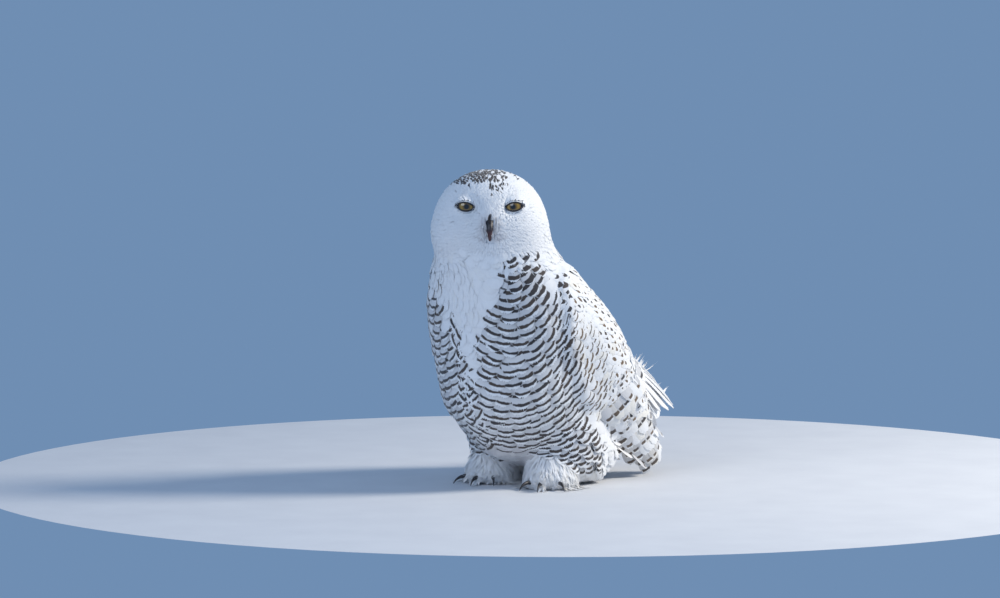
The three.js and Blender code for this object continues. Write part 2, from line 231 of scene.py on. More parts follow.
def plumeMaterial(name, tintShadeColour):
    colours = plumeColours
    recipe = Recipe(name, Roughness=0.82, Sheen_Weight=0.25, Sheen_Roughness=0.5, Specular_IOR_Level=0.2)
    place = recipe.node("UVMap", uv_map="Vane").outputs["UV"]
    split = recipe.node("SeparateXYZ", {"Vector": place})
    across = recipe.scaled(split.outputs["X"], 2.0, -1.0)
    wide = recipe.sum("ABSOLUTE", across)
    fromTip = recipe.times(split.outputs["Y"], colours["vaneUnit"])
    objects = recipe.node("TexCoord").outputs["Object"]
    wobble = recipe.scaled(recipe.noise(objects, 160.0), 0.0030, -0.0015)
    fine = recipe.scaled(recipe.noise(objects, 900.0), 0.0016, -0.0008)
    bowed = recipe.minus(fromTip, recipe.times(recipe.times(wide, wide), colours["bow"]))
    bowed = recipe.plus(recipe.plus(bowed, wobble), fine)
    # dark bars across the feather, one to each row of the coat
    short = recipe.sum("MINIMUM", recipe.attribute("spots"), 0.0)  # spots below 0: one short bar, near the tip
    fromBar = recipe.minus(bowed, colours["barAt"])
    wrapped = recipe.sum("PINGPONG", fromBar, colours["barStep"] / 2)
    once = recipe.times(recipe.sum("ABSOLUTE", fromBar), recipe.sum("LESS_THAN", short, -0.01))
    wrapped = recipe.larger(wrapped, once)
    amount = recipe.attribute("bars")
    half = recipe.times(recipe.sum("SQRT", recipe.larger(amount, 0.0)), colours["barHalf"])
    half = recipe.times(half, recipe.scaled(recipe.noise(objects, 70.0), 1.2, 0.4))
    inside = recipe.minus(half, wrapped)
    bar = recipe.band(inside, -0.0004, 0.0007)
    bar = recipe.times(bar, recipe.band(recipe.minus(wide, short), 0.97, 0.8))
    bar = recipe.times(bar, recipe.band(amount, 0.02, 0.2))
    # a single spot near the tip, longer than it is wide
    spotAcross = recipe.sum("DIVIDE", recipe.plus(across, recipe.times(wobble, 60.0)), colours["spotWide"])
    spotAlong = recipe.sum("DIVIDE", recipe.minus(bowed, colours["spotAt"]), colours["spotLong"])
    pointed = recipe.scaled(recipe.larger(spotAlong, 0.0), 0.9, 1.0)
    spotAcross = recipe.times(spotAcross, pointed)
    squares = [recipe.times(value, value) for value in (spotAcross, spotAlong)]
    reach = recipe.sum("SQRT", recipe.plus(*squares))
    spots = recipe.attribute("spots")
    spot = recipe.band(recipe.minus(reach, spots), 0.12, -0.22)
    spot = recipe.times(spot, recipe.band(spots, 0.02, 0.2))
    tone = recipe.attribute("tone")
    base = recipe.mixed(recipe.band(tone, 0.35, 1.0), colours["white"], colours["cream"])
    barbs = recipe.plus(recipe.times(wide, 9.0), recipe.times(fromTip, 900.0))
    stripes = recipe.scaled(recipe.sum("SINE", recipe.times(barbs, 6.2832)), 0.5, 0.5)
    base = recipe.mixed(recipe.times(recipe.times(stripes, 0.22), wide), base, colours["shade"])
    dark = recipe.mixed(recipe.attribute("umber"), colours["bar"], colours["umber"])
    marks = recipe.larger(bar, spot)
    # the tint colour: a pinkish-grey tint in places, and painted shade along the gape's line, in the creases over the
    # eyes and on the lowest primaries
    base = recipe.mixed(recipe.attribute("blush"), base, tintShadeColour)
    wash = recipe.times(recipe.band(amount, 0.3, 1.1), recipe.band(fromTip, 0.0005, 0.006))
    base = recipe.mixed(recipe.times(wash, 0.5), base, colours["grey"])
    recipe.into("Base Color", recipe.mixed(recipe.times(marks, 0.96), base, dark))
    recipe.bump(stripes, 0.25, 0.0004)
    return recipe.material


plumage = plumeMaterial("plumage", plumeColours["blush"])

# the skin: one smooth surface in place of the flesh, a coat's depth inside it
skinSettings = dict(
    parts=["head", "neck", "trunk", "thigh_left", "thigh_right", "foot_left", "foot_right"]
    + ["wing_left_coverts", "wing_right_coverts"],
    swell=0.0006,  # closes the thin gaps between the nodes
    voxel=0.0036,
    smoothing=6,
    depth=dict(head=0.0045, neck=0.0055, trunk=0.006, thigh=0.007, foot=0.005, wing=0.004),
    faceDepth=0.0035,
)
eyeSettings = dict(
    browBack=0.0045,  # how far the skin above the lids lies back
    iris=0.70, pupil=0.22, inward=0.13,
    gold=(0.34, 0.205, 0.03, 1), amber=(0.11, 0.06, 0.012, 1), black=(0.006, 0.005, 0.005, 1),
    openingWidth=0.0122, openingHeight=0.0060, rimWidth=0.0010, tilt=0.12, lidThickness=0.0012,
    socketHeight=0.0085, sunk=0.0025,  # how far the skin lies inside the ball within the opening
    lidDark=(0.012, 0.011, 0.012, 1), lidPale=(0.03, 0.027, 0.03, 1),
)


def fusedFlesh():
    whole = bmesh.new()
    for name in skinSettings["parts"] + ["eye_left", "eye_right"]:  # the balls fill their sockets
        part = bmesh.new()
        part.from_mesh(nodes[name].data)
        bmesh.ops.remove_doubles(part, verts=part.verts, dist=1e-5)
        part.normal_update()
        for vertex in part.verts:
            vertex.co += vertex.normal * skinSettings["swell"]
        whole.from_mesh(meshFrom(part, "part"))
    flesh = asObject(meshFrom(whole, "flesh"), "flesh")
    fused = withModifiers(
        flesh,
        ("REMESH", dict(mode="VOXEL", voxel_size=skinSettings["voxel"])),
        ("SMOOTH", dict(iterations=skinSettings["smoothing"], factor=0.5)),
    )
    bpy.data.objects.remove(flesh)
    fine = bmesh.new()
    fine.from_mesh(fused)
    for reach in (0.034, 0.026):  # a finer mesh where the lids are
        close = [e for e in fine.edges if any((e.verts[0].co - c).length < reach for c in eyeCentres.values())]
        bmesh.ops.subdivide_edges(fine, edges=close, cuts=1, use_grid_fill=True)
    bmesh.ops.triangulate(fine, faces=fine.faces)
    fine.to_mesh(fused)
    fine.free()
    return fused


skinMesh = fusedFlesh()
skinPoints = meshPoints(skinMesh)
skinTriangles = meshTriangles(skinMesh)
skinEdges = np.unique(
    np.sort(np.concatenate([skinTriangles[:, pair] for pair in ([0, 1], [1, 2], [2, 0])]), axis=1), axis=0
)
edgeCount = np.bincount(skinEdges.ravel(), minlength=len(skinPoints))[:, None]


def spreadOut(values, times):  # a field on the skin's vertices, averaged with its neighbours
    flat = values.reshape(len(values), -1).astype(float)
    for _ in range(times):
        total = np.zeros_like(flat)
        np.add.at(total, skinEdges[:, 0], flat[skinEdges[:, 1]])
        np.add.at(total, skinEdges[:, 1], flat[skinEdges[:, 0]])
        flat = (flat + total / edgeCount) / 2
    return flat.reshape(values.shape)


def skinNormals():
    corners = skinPoints[skinTriangles]
    faces = np.cross(corners[:, 1] - corners[:, 0], corners[:, 2] - corners[:, 0])
    normals = np.zeros_like(skinPoints)
    for corner in range(3):
        np.add.at(normals, skinTriangles[:, corner], faces)
    return unit(normals)


# which part of the bird each vertex belongs to, softened where the parts meet
def nearestParts(points):
    trees = {}
    for name in skinSettings["parts"]:
        mesh = nodes[name].data
        trees[name] = BVHTree.FromPolygons([v.co for v in mesh.vertices], [p.vertices for p in mesh.polygons])
    far = 0.05
    reach = []
    for name in skinSettings["parts"]:
        hits = [trees[name].find_nearest(p, far)[3] for p in points.tolist()]
        reach.append([far if d is None else d for d in hits])
    return np.argmin(np.array(reach), axis=0)


partOf = nearestParts(skinPoints)
partKinds = [name.split("_")[0] for name in skinSettings["parts"]]
share = {
    kind: spreadOut(np.isin(partOf, [i for i, k in enumerate(partKinds) if k == kind]).astype(float), 6)
    for kind in skinSettings["depth"]
}
print(f"skin: {len(skinPoints)} vertices fused from the flesh")


def headPlaces(points):  # across, forward and up from the middle of the head
    offset = points - np.array(headCentre)
    return offset @ np.array(headAcross), offset @ np.array(headForward), offset[:, 2]


facePlaces = dict(ahead=(0.40, 0.68), top=(0.052, 0.034), chin=(-0.085, -0.06))  # where the facial disc fades out


def faceShare(points):  # 1 on the facial disc, 0 behind it
    across, forward, up = headPlaces(points)
    distance = np.sqrt(across**2 + (up * 0.92) ** 2 + np.minimum(forward, 0.05) ** 2)
    ahead = forward / np.maximum(distance, 1e-6)
    return ramp(ahead, *facePlaces["ahead"]) * ramp(up, *facePlaces["top"]) * ramp(up, *facePlaces["chin"])


def eyePlaces(points, side):  # across, up and forward from the middle of an eye
    offset = points - np.array(eyeCentres[side])
    return offset @ np.array(headAcross), offset[:, 2], offset @ np.array(headForward)


def almond(u, w, side, margin):  # below 1 inside the opening of the lids
    tilt = eyeSettings["tilt"] * (1 if side == "left" else -1)
    along, over = u * math.cos(tilt) + w * math.sin(tilt), w * math.cos(tilt) - u * math.sin(tilt)
    wide = np.clip(np.abs(along) / (eyeSettings["openingWidth"] + margin), 0, 1.5)
    tall = (eyeSettings["openingHeight"] + margin) * np.maximum(1 - wide**2, 0) ** 0.7
    return np.maximum(wide, np.abs(over) / np.maximum(tall, 1e-6))


def sinkSkin():
    global skinPoints
    face = faceShare(skinPoints)
    depth = sum(share[kind] * value for kind, value in skinSettings["depth"].items())
    depth = depth * (1 - face) + skinSettings["faceDepth"] * face
    depth = spreadOut(depth, 8)
    for _ in range(4):
        skinPoints = skinPoints - skinNormals() * (depth / 4)[:, None]
        skinPoints = spreadOut(skinPoints, 1)
    for side in eyeCentres:  # lids wrap the ball, and the skin dives behind it inside their opening
        u, w, forward = eyePlaces(skinPoints, side)
        round_ = np.hypot(u, w)
        wide = np.hypot(u / eyeSettings["openingWidth"], w / eyeSettings["socketHeight"])
        inside = almond(u, w, side, 0.0) < 1
        lift = np.where(inside, -eyeSettings["sunk"], eyeSettings["lidThickness"])
        ahead = np.sqrt(np.maximum((eyeRadius + lift) ** 2 - round_**2, 0))
        ahead = ahead - ramp(w, 0.0065, 0.012) * eyeSettings["browBack"]
        target = skinPoints + np.array(headForward) * (ahead - forward)[:, None]
        blend = np.minimum(ramp(round_, 0.0175, 0.0135), ramp(wide, 1.8, 1.15)) * (forward > 0)
        shift = (target - skinPoints) * blend[:, None]
        outer = ramp(wide, 1.05, 1.45)[:, None]
        skinPoints = skinPoints + shift * (1 - outer) + spreadOut(shift, 14) * outer
    return depth


coatDepth = sinkSkin()
skinNormal = skinNormals()
skinTree = BVHTree.FromPolygons(skinPoints.tolist(), skinTriangles.tolist())


# the lie of the coat
lieSettings = dict(
    collar=[(0.071, -0.205, 0.345), (0.085, -0.174, 0.375), (0.092, -0.144, 0.44)],  # the rows part from here
    sideways=2.5,
    sweep=1.5,  # how far the flanks' feathers turn back towards the wing, and where: degrees round and heights
    sweepPlaces=((44, 76), (0.15, 0.20), (0.33, 0.29)),
    eyeReach=0.026, eyePull=2.2, billPull=0.7,  # the face's feathers turn away from the eyes and the bill
    neckFrom=(0.315, 0.35), legFrom=(0.09, 0.05), ankleX=0.054, ankleHeight=0.05,
    wingSlope=0.765,
)


slope = lieSettings["wingSlope"]
wingDown = np.array([0.0, math.cos(slope), -math.sin(slope)])  # along the folded wing, towards its tip
wingUp = np.array([0.0, math.sin(slope), math.cos(slope)])


def fromBreast(points):  # how far down the breast each point is, as rows of feathers count it
    stretch = np.sqrt([lieSettings["sideways"], lieSettings["sideways"], 1.0])
    best = np.full(len(points), np.inf)
    for mirror in (1, -1):
        collar = np.array(lieSettings["collar"]) * [mirror, 1, 1] * stretch
        for start, end in zip(collar[:-1], collar[1:]):
            offset, along = points * stretch - start, end - start
            share = np.clip(offset @ along / (along @ along), 0, 1)
            best = np.minimum(best, np.linalg.norm(offset - share[:, None] * along, axis=1))
    return best


softNormal = unit(spreadOut(skinNormal, 14))
faceSoft = unit(softNormal[skinTriangles].mean(1))


def tangent(vectors, normals):
    return unit(vectors - normals * dots(vectors, normals))


def coatLie(points, normals):
    small = 1e-4
    steps = np.eye(3) * small
    torso = np.stack([(fromBreast(points + s) - fromBreast(points - s)) / (2 * small) for s in steps], axis=1)
    torso = tangent(torso, normals)
    down = np.array([0.0, 0.0, -1.0])
    around = np.abs(aroundTrunk(points))
    turned, low, high = lieSettings["sweepPlaces"]
    sweep = ramp(around, *turned) * ramp(points[:, 2], *low) * ramp(points[:, 2], *high)
    torso = tangent(torso + np.array([0.0, 1.0, 0.1]) * (sweep * lieSettings["sweep"])[:, None], normals)
    wing = tangent(np.tile(wingDown, (len(points), 1)), normals)
    # the face's feathers radiate from the eyes and the bill, and the rest of the head's run back and down
    across, forward, up = headPlaces(points)
    bill = headCentre + headForward * 0.06 - upward * 0.002
    away = unit(points - np.array(bill)) * lieSettings["billPull"]
    for centre in eyeCentres.values():
        offset = points - np.array(centre)
        near = np.exp(-((np.linalg.norm(offset, axis=1) / lieSettings["eyeReach"]) ** 2))[:, None]
        flat = offset - np.array(headForward) * dots(offset, np.array(headForward))
        away = away + unit(flat) * near * lieSettings["eyePull"]
    backward = np.tile(-np.array(headForward), (len(points), 1))
    face = faceShare(points)[:, None]
    low = ramp(up, 0.03, -0.06)[:, None]
    behind = ramp(forward, 0.03, -0.05)[:, None]
    rest = backward * (1 - 0.85 * low) * (1 - 0.7 * behind) + down * (0.25 + low + 0.9 * behind)
    head = tangent(away * face + rest * (1 - face), normals)
    legs = tangent(np.tile([0.0, 0.12, -1.0], (len(points), 1)), normals)
    neck = tangent(np.tile([0.0, 0.15, -1.0], (len(points), 1)), normals)
    # toes: outward from the middle of the ankle
    side = np.where(points[:, :1] > 0, 1, -1)
    ones = np.ones(side.shape)
    ankle = np.concatenate([lieSettings["ankleX"] * side, ones * ankleY, ones * lieSettings["ankleHeight"]], axis=1)
    toes = tangent(unit((points - ankle) * [1, 1, 0.5]) - [0, 0, 0.35], normals)
    weight = {key: value[:, None] for key, value in share.items()}
    high = ramp(points[:, 2], *lieSettings["neckFrom"])[:, None]
    lowLeg = ramp(points[:, 2], *lieSettings["legFrom"])[:, None]
    thighs = torso * (1 - lowLeg) + legs * lowLeg
    collar = torso * (1 - high) + neck * high
    mixed = head * weight["head"] + wing * weight["wing"] + toes * weight["foot"] + thighs * weight["thigh"]
    mixed = mixed + collar * (weight["trunk"] + weight["neck"])
    return tangent(mixed, normals)


skinLie = coatLie(skinPoints, skinNormal)
skinLie = tangent(spreadOut(skinLie, 6), skinNormal)
skinRow = fromBreast(skinPoints)


# markings, the same for skin and coat
barredPlaces = dict(
    strip=([0.152, 0.165, 0.19, 0.21, 0.235, 0.29], [-0.006, 0.002, 0.005, 0.007, 0.016, 0.026]),
    middle=([0.12, 0.165, 0.2, 0.28], [0.014, 0.010, 0.004, 0.014]),
    stripEnd=0.15,  # the white strip runs down to here; its half width and middle are given by height
    top=([-60, -35, -10, 10, 25, 38, 58, 78], [0.315, 0.285, 0.245, 0.245, 0.285, 0.329, 0.337, 0.322]),
    limit=([0.04, 0.08, 0.14, 0.2, 0.25, 0.29, 0.33], [134, 124, 100, 93, 81, 69, 66]),  # degrees round, by height
    ventX=0.008,
)


def barShare(points):  # how strongly barred the breast, belly, flanks and legs are
    x, y, z = points.T
    around = aroundTrunk(points)
    strip, middle, limit = (np.interp(z, *barredPlaces[key]) for key in ("strip", "middle", "limit"))
    clear = ramp(np.abs(x - middle), strip * 0.8, strip * 1.2 + 0.004)
    clear = np.where(z < barredPlaces["stripEnd"], 1.0, clear)
    top = np.interp(around, *barredPlaces["top"])
    below = ramp(z, top + 0.012, top - 0.010)
    flank = ramp(np.abs(around), limit + 7, limit - 7)
    under = 1 - ramp(z, 0.070, 0.052) * ramp(np.abs(x - barredPlaces["ventX"]), 0.036, 0.024)
    feet = ramp(z, 0.008, 0.022)
    return clear * below * flank * under * feet


def ventShare(points):  # 1 between the legs, under the belly, where the coat is darkened towards grey-beige
    x, y, z = points.T
    return ramp(z, 0.085, 0.055) * ramp(np.abs(x - barredPlaces["ventX"]), 0.046, 0.026) * ramp(y, 0.06, 0.02)


crownPlaces = dict(  # where each patch of spots fades in: up, then across from either side
    crown=((0.043, 0.049), (0.018, 0.008), (-0.062, -0.05)),
    forehead=((0.031, 0.040), (-0.006, 0.002), (0.024, 0.016)),
    summit=(0.050, 0.06),
    foreheadShare=0.5, summitShare=0.16,
)


def crownShare(points):  # how thickly spotted the crown and the forehead are
    across, forward, up = headPlaces(points)

    def patch(height, one, other):
        return ramp(up, *height) * ramp(across, *one) * ramp(across, *other)

    forehead = patch(*crownPlaces["forehead"]) * (forward > 0) * crownPlaces["foreheadShare"]
    summit = ramp(up, *crownPlaces["summit"]) * crownPlaces["summitShare"]
    return np.maximum(np.maximum(patch(*crownPlaces["crown"]), forehead), summit)


# feathers
class Coat:  # feathers of one kind, gathered into one mesh
    def __init__(self):
        self.points, self.faces, self.vane, self.bake, self.marks, self.soft = [], [], [], [], [], []
        self.count = 0


def plumeTemplate(columns, rows, baseWidth, shoulder, ragged, wisps, wispLength):
    sheet = bmesh.new()
    bmesh.ops.create_grid(sheet, x_segments=columns, y_segments=rows, size=0.5)
    pick = np.random.default_rng(columns * 100 + rows)
    for vertex in sheet.verts:
        across, along = vertex.co.x * 2, vertex.co.y + 0.5
        if along < shoulder:
            width = baseWidth + (1 - baseWidth) * math.sin(along / shoulder * math.pi / 2)
        else:
            width = math.sqrt(max(1 - ((along - shoulder) / (1.03 - shoulder)) ** 2.4, 0))
        if along > 0.999:
            along += pick.uniform(-ragged, ragged)
        else:
            width *= 1 + pick.uniform(-ragged, ragged) * 0.6 * (abs(across) > 0.99)
        vertex.co = (across * width, along, 0)
    for i in range(wisps):  # thin barbs that stand past the edge
        turn = (i + 0.5) / wisps * 2 - 1
        side, far = math.sin(turn * 1.75), 0.5 + 0.52 * math.cos(turn * 1.55)
        root = Vector((side * 0.78, far - 0.06, 0))
        heading = Vector((side * 0.55, 0.9 - 0.3 * abs(side), 0)).normalized()
        tip = root + heading * wispLength * pick.uniform(0.7, 1.2)
        across = Vector((-heading.y, heading.x, 0)) * 0.075
        sheet.faces.new([sheet.verts.new(p) for p in (root - across, root + across, tip)])
    sheet.verts.index_update()
    points = np.array([v.co[:] for v in sheet.verts])
    faces = [[v.index for v in f.verts] for f in sheet.faces]
    sheet.free()
    return points[:, 0], points[:, 1], faces


def nearestSkin(points):
    hits = [skinTree.find_nearest(p) for p in points.tolist()]
    return np.array([h[0][:] for h in hits]), np.array([h[2] for h in hits])


faceNormal = unit(skinNormal[skinTriangles].mean(1))


def layPlumes(template, roots, headings, length, width, root, tip, camber=0.1, curl=0.0, stations=6):
    across, along, _ = template
    reach = along.max()
    spots, frames = [roots], []
    point, heading = roots, headings
    _, face = nearestSkin(roots)
    normal = faceNormal[face]
    heading = tangent(heading, normal)
    frames.append((normal, np.cross(heading, normal), faceSoft[face]))
    for _ in range(1, stations):
        guess = point + heading * (length * reach / (stations - 1))[:, None]
        place, face = nearestSkin(guess)
        past = dots(faceNormal[face], frames[-1][0]) < 0.45  # off the rim of a wing: straight on
        place = np.where(past, guess, place)
        normal = np.where(past, frames[-1][0], unit(faceNormal[face] * 0.6 + frames[-1][0] * 0.4))
        heading = tangent(place - point + heading * 1e-4, normal)
        point = place
        spots.append(place)
        frames.append((normal, np.cross(heading, normal), np.where(past, frames[-1][2], faceSoft[face])))
    spots = np.stack(spots, axis=1)
    normals = np.stack([f[0] for f in frames], axis=1)
    sides = np.stack([f[1] for f in frames], axis=1)
    shades = np.stack([f[2] for f in frames], axis=1)
    middle = stations // 2
    sags = []
    for sign in (-1, 1):  # how far the skin falls away at either edge
        edge = spots[:, middle] + sides[:, middle] * (sign * width / 2)[:, None]
        place, _ = nearestSkin(edge)
        sags.append(np.clip(dots(place - edge, normals[:, middle])[:, 0], -0.35 * width, 0.1 * width))
    fall = np.where(across[None] < 0, sags[0][:, None], sags[1][:, None]) * across[None] ** 2
    height = root[:, None] + (tip - root)[:, None] * along[None] ** 1.2
    height = height + camber * (width / 2)[:, None] * (1 - across[None] ** 2) * np.sin(np.pi * np.clip(along, 0, 1))
    height = height + fall + curl * length[:, None] * np.maximum(along[None] - 0.55, 0) ** 2
    return bent(template, spots, normals, sides, shades, width, height)


def bent(template, spots, normals, sides, shades, width, height):  # flat feathers set along lines of stations
    across, along, _ = template
    step = along / along.max() * (spots.shape[1] - 1)
    low = np.clip(step.astype(int), 0, spots.shape[1] - 2)
    part = (step - low)[None, :, None]

    def between(values):
        return values[:, low] * (1 - part) + values[:, low + 1] * part

    offset = (width / 2)[:, None] * across[None]
    laid = between(spots) + unit(between(sides)) * offset[..., None] + unit(between(normals)) * height[..., None]
    laid[..., 2] = np.maximum(laid[..., 2], 0.0006)  # nothing goes through the floor
    return laid, unit(between(shades) + unit(between(sides)) * across[None, :, None] * 0.25)


def bakePlaces(faces, points):  # the skin map's coordinates at points on the skin
    corners = skinPoints[skinTriangles[faces]]
    first, second = corners[:, 1] - corners[:, 0], corners[:, 2] - corners[:, 0]
    offset = points - corners[:, 0]
    d00, d01, d11 = (first * first).sum(1), (first * second).sum(1), (second * second).sum(1)
    d20, d21 = (offset * first).sum(1), (offset * second).sum(1)
    scale = np.maximum(d00 * d11 - d01 * d01, 1e-18)
    v = np.clip((d11 * d20 - d01 * d21) / scale, 0, 1)
    w = np.clip((d00 * d21 - d01 * d20) / scale, 0, 1 - v)
    map3 = skinMap[faces]
    return map3[:, 0] * (1 - v - w)[:, None] + map3[:, 1] * v[:, None] + map3[:, 2] * w[:, None]


def addPlumes(coat, template, roots, headings, length, width, root, tip, marks, grain=1.0, **bend):
    if not len(roots):
        return
    laid = layPlumes(template, roots, headings, length, width, root, tip, **bend)
    gather(coat, template, laid, roots, length, marks, grain)


def gather(coat, template, shape, roots, length, marks, grain=1.0):  # into one mesh, with maps and markings
    across, along, faces = template
    laid, soft = shape
    coat.soft.append(soft.reshape(-1, 3))
    count, size = laid.shape[:2]
    coat.points.append(laid.reshape(-1, 3))
    starts = coat.count + np.arange(count) * size
    for corners in (3, 4):
        some = np.array([f for f in faces if len(f) == corners])
        if len(some):
            coat.faces.append((starts[:, None, None] + some[None]).reshape(-1, corners))
    coat.count += count * size
    fromTip = np.maximum(1 - along[None], -0.2) * length[:, None] * grain / plumeColours["vaneUnit"]
    vane = np.stack([np.broadcast_to(across * 0.5 + 0.5, (count, size)), fromTip], axis=2)
    coat.vane.append(vane.reshape(-1, 2))
    _, face = nearestSkin(roots)
    patch = np.stack([across * 0.5, along - 0.5], axis=1) * 0.003
    bake = np.clip(bakePlaces(face, roots)[:, None] + patch[None], 0.0, 1.0)
    coat.bake.append(bake.reshape(-1, 2))
    columns = [np.repeat(np.broadcast_to(marks.get(key, 0.0), count), size) for key in markNames]
    coat.marks.append(np.stack(columns, axis=1))


markNames = ("bars", "spots", "umber", "tone", "blush")


def coatPiece(coat, name, slot, material, *replaced, softness=0.6):
    points = np.concatenate(coat.points)
    mesh = bpy.data.meshes.new(name)
    loops = np.concatenate([f.ravel() for f in coat.faces]).astype(np.int32)
    sizes = np.concatenate([np.full(len(f), f.shape[1]) for f in coat.faces]).astype(np.int32)
    mesh.vertices.add(len(points))
    mesh.vertices.foreach_set("co", points.ravel())
    mesh.loops.add(len(loops))
    mesh.loops.foreach_set("vertex_index", loops)
    mesh.polygons.add(len(sizes))
    mesh.polygons.foreach_set("loop_start", (np.cumsum(sizes) - sizes).astype(np.int32))
    mesh.update(calc_edges=True)
    mesh.validate()
    for label, values in (("OFBake", coat.bake), ("Vane", coat.vane)):
        layer = mesh.uv_layers.new(name=label)
        layer.data.foreach_set("uv", np.concatenate(values)[loops].ravel())
    marks = np.concatenate(coat.marks)
    for column, key in enumerate(markNames):
        attribute = mesh.attributes.new(key, "FLOAT", "POINT")
        attribute.data.foreach_set("value", marks[:, column].astype(np.float32))
    mesh.materials.append(material)
    piece = finished(asObject(mesh, name), slot, *replaced)
    shading = meshNormals(mesh)
    soft = np.concatenate(coat.soft)
    outward = dots(shading, soft) > 0  # feathers shade much as the body under them does
    blend = np.where(outward, unit(shading * (1 - softness) + soft * softness), shading)
    mesh.normals_split_custom_set_from_vertices(blend.tolist())
    triangles = int((sizes - 2).sum())
    print(f"{name}: {triangles} triangles")
    return piece


# the skin's piece, with its own map
def unwrapSkin(mesh):
    piece = asObject(mesh, "skin")
    bpy.context.view_layer.objects.active = piece
    piece.select_set(True)
    bpy.ops.object.mode_set(mode="EDIT")
    bpy.ops.mesh.select_all(action="SELECT")
    bpy.ops.uv.smart_project(angle_limit=math.radians(70), island_margin=0.002)
    bpy.ops.object.mode_set(mode="OBJECT")
    mesh.uv_layers[0].name = "OFBake"
    coords = np.empty(len(mesh.loops) * 2)
    mesh.uv_layers[0].data.foreach_get("uv", coords)
    return piece, coords.reshape(-1, 3, 2)


def makeSkin():
    skinMesh.vertices.foreach_set("co", skinPoints.ravel())
    skinMesh.update()
    piece, coords = unwrapSkin(skinMesh)
    recipe = Recipe("skin", Roughness=0.85, Sheen_Weight=0.2)
    objects = recipe.node("TexCoord").outputs["Object"]
    row = recipe.plus(recipe.attribute("row"), recipe.times(recipe.noise(objects, 60.0), 0.006))
    wrapped = recipe.sum("PINGPONG", row, plumeColours["barStep"] / 2)
    bar = recipe.band(recipe.minus(recipe.attribute("bars"), recipe.times(wrapped, 420.0)), 0, 0.3)
    down = recipe.mixed(recipe.noise(objects, 300.0), plumeColours["white"], plumeColours["shade"])
    spotted = recipe.plus(recipe.noise(objects, 150.0), recipe.times(recipe.attribute("spotted"), 0.3))
    bar = recipe.larger(bar, recipe.band(spotted, 0.66, 0.70))
    down = recipe.mixed(recipe.attribute("vent"), down, plumeColours["blush"])
    recipe.into("Base Color", recipe.mixed(recipe.times(bar, 0.8), down, plumeColours["bar"]))
    recipe.bump(recipe.noise(objects, 700.0, 4.0), 0.6, 0.001)
    spotted = np.maximum(crownShare(skinPoints), share["wing"] * 0.35)
    fields = dict(row=skinRow, bars=barShare(skinPoints) * 0.8, spotted=spotted, vent=ventShare(skinPoints) * 0.3)
    for key, values in fields.items():
        attribute = skinMesh.attributes.new(key, "FLOAT", "POINT")
        attribute.data.foreach_set("value", values.astype(np.float32))
    skinMesh.materials.clear()
    skinMesh.materials.append(recipe.material)
    finished(piece, "plumage_white", *skinSettings["parts"])
    print("skin unwrapped")
    return coords


skinMap = makeSkin()


# where feathers stand
triangleShare = {kind: values[skinTriangles].mean(1) for kind, values in share.items()}
triangleMiddle = skinPoints[skinTriangles].mean(1)
corners = skinPoints[skinTriangles]
triangleArea = np.linalg.norm(np.cross(corners[:, 1] - corners[:, 0], corners[:, 2] - corners[:, 0]), axis=1) / 2
triangleLie = unit(skinLie[skinTriangles].mean(1))
triangleDepth = coatDepth[skinTriangles].mean(1)


def scattered(spacing, allowed):
    # spacing: metres between feathers, one value to each triangle; allowed: which triangles may hold one
    chance = triangleArea * allowed / spacing**2
    tries = random.poisson(chance.sum() * 3)
    picked = random.choice(len(chance), size=tries, p=chance / chance.sum())
    mix = random.random((tries, 2))
    flip = mix.sum(1) > 1
    mix[flip] = 1 - mix[flip]
    three = corners[picked]
    places = three[:, 0] + (three[:, 1] - three[:, 0]) * mix[:, :1] + (three[:, 2] - three[:, 0]) * mix[:, 1:]
    cell = spacing[picked].max()
    grid, kept = {}, []
    steps = list(itertools.product((-1, 0, 1), repeat=3))
    keys = np.floor(places / cell).astype(int).tolist()
    gaps = (spacing[picked] * 0.82) ** 2
    for index, (p, (i, j, k), gap) in enumerate(zip(places.tolist(), keys, gaps)):
        near = (q for a, b, c in steps for q in grid.get((i + a, j + b, k + c), ()))
        if all((p[0] - q[0]) ** 2 + (p[1] - q[1]) ** 2 + (p[2] - q[2]) ** 2 >= gap for q in near):
            grid.setdefault((i, j, k), []).append(p)
            kept.append(index)
    return places[kept], picked[kept]


def contour(field, level):  # the lines on the skin where a vertex field has one value
    above = field[skinTriangles] > level
    crossing = np.nonzero(above.any(1) & ~above.all(1))[0]
    links = {}
    spots = {}
    for face in crossing:
        ends = []
        for a, b in ((0, 1), (1, 2), (2, 0)):
            if above[face, a] != above[face, b]:
                i, j = sorted((skinTriangles[face, a], skinTriangles[face, b]))
                t = (level - field[i]) / (field[j] - field[i])
                spots[(i, j)] = skinPoints[i] * (1 - t) + skinPoints[j] * t
                ends.append((i, j))
        for one, other in (ends, ends[::-1]):
            links.setdefault(one, []).append((other, face))
    lines, seen = [], set()
    for start in links:
        if start in seen:
            continue
        line, current = [start], start
        seen.add(start)
        while True:
            onward = [e for e, _ in links[current] if e not in seen]
            if not onward:
                break
            current = onward[0]
            seen.add(current)
            line.append(current)
        lines.append(np.array([spots[e] for e in line]))
    return lines


def rowPlaces(field, levels, gap):
    # places along contour lines, and their row's number; each barred row is set half a gap aside from the last
    found = []
    for number, level in enumerate(levels):
        for line in contour(field, level):
            pieces = np.linalg.norm(np.diff(line, axis=0), axis=1)
            total = pieces.sum()
            if total < gap:
                continue
            walked = np.concatenate([[0], np.cumsum(pieces)])
            at = np.arange((number // 2 % 2) * gap / 2 + (number % 2) * gap / 4, total, gap)
            at = np.clip(at + random.uniform(-0.12, 0.12, len(at)) * gap, 0, total)
            spots = [np.interp(at, walked, line[:, i]) for i in range(3)]
            found.append(np.stack(spots + [np.full(len(at), number)], axis=1))
    found = np.concatenate(found)
    _, faces = nearestSkin(found[:, :3])
    return found[:, :3], faces, found[:, 3].astype(int)


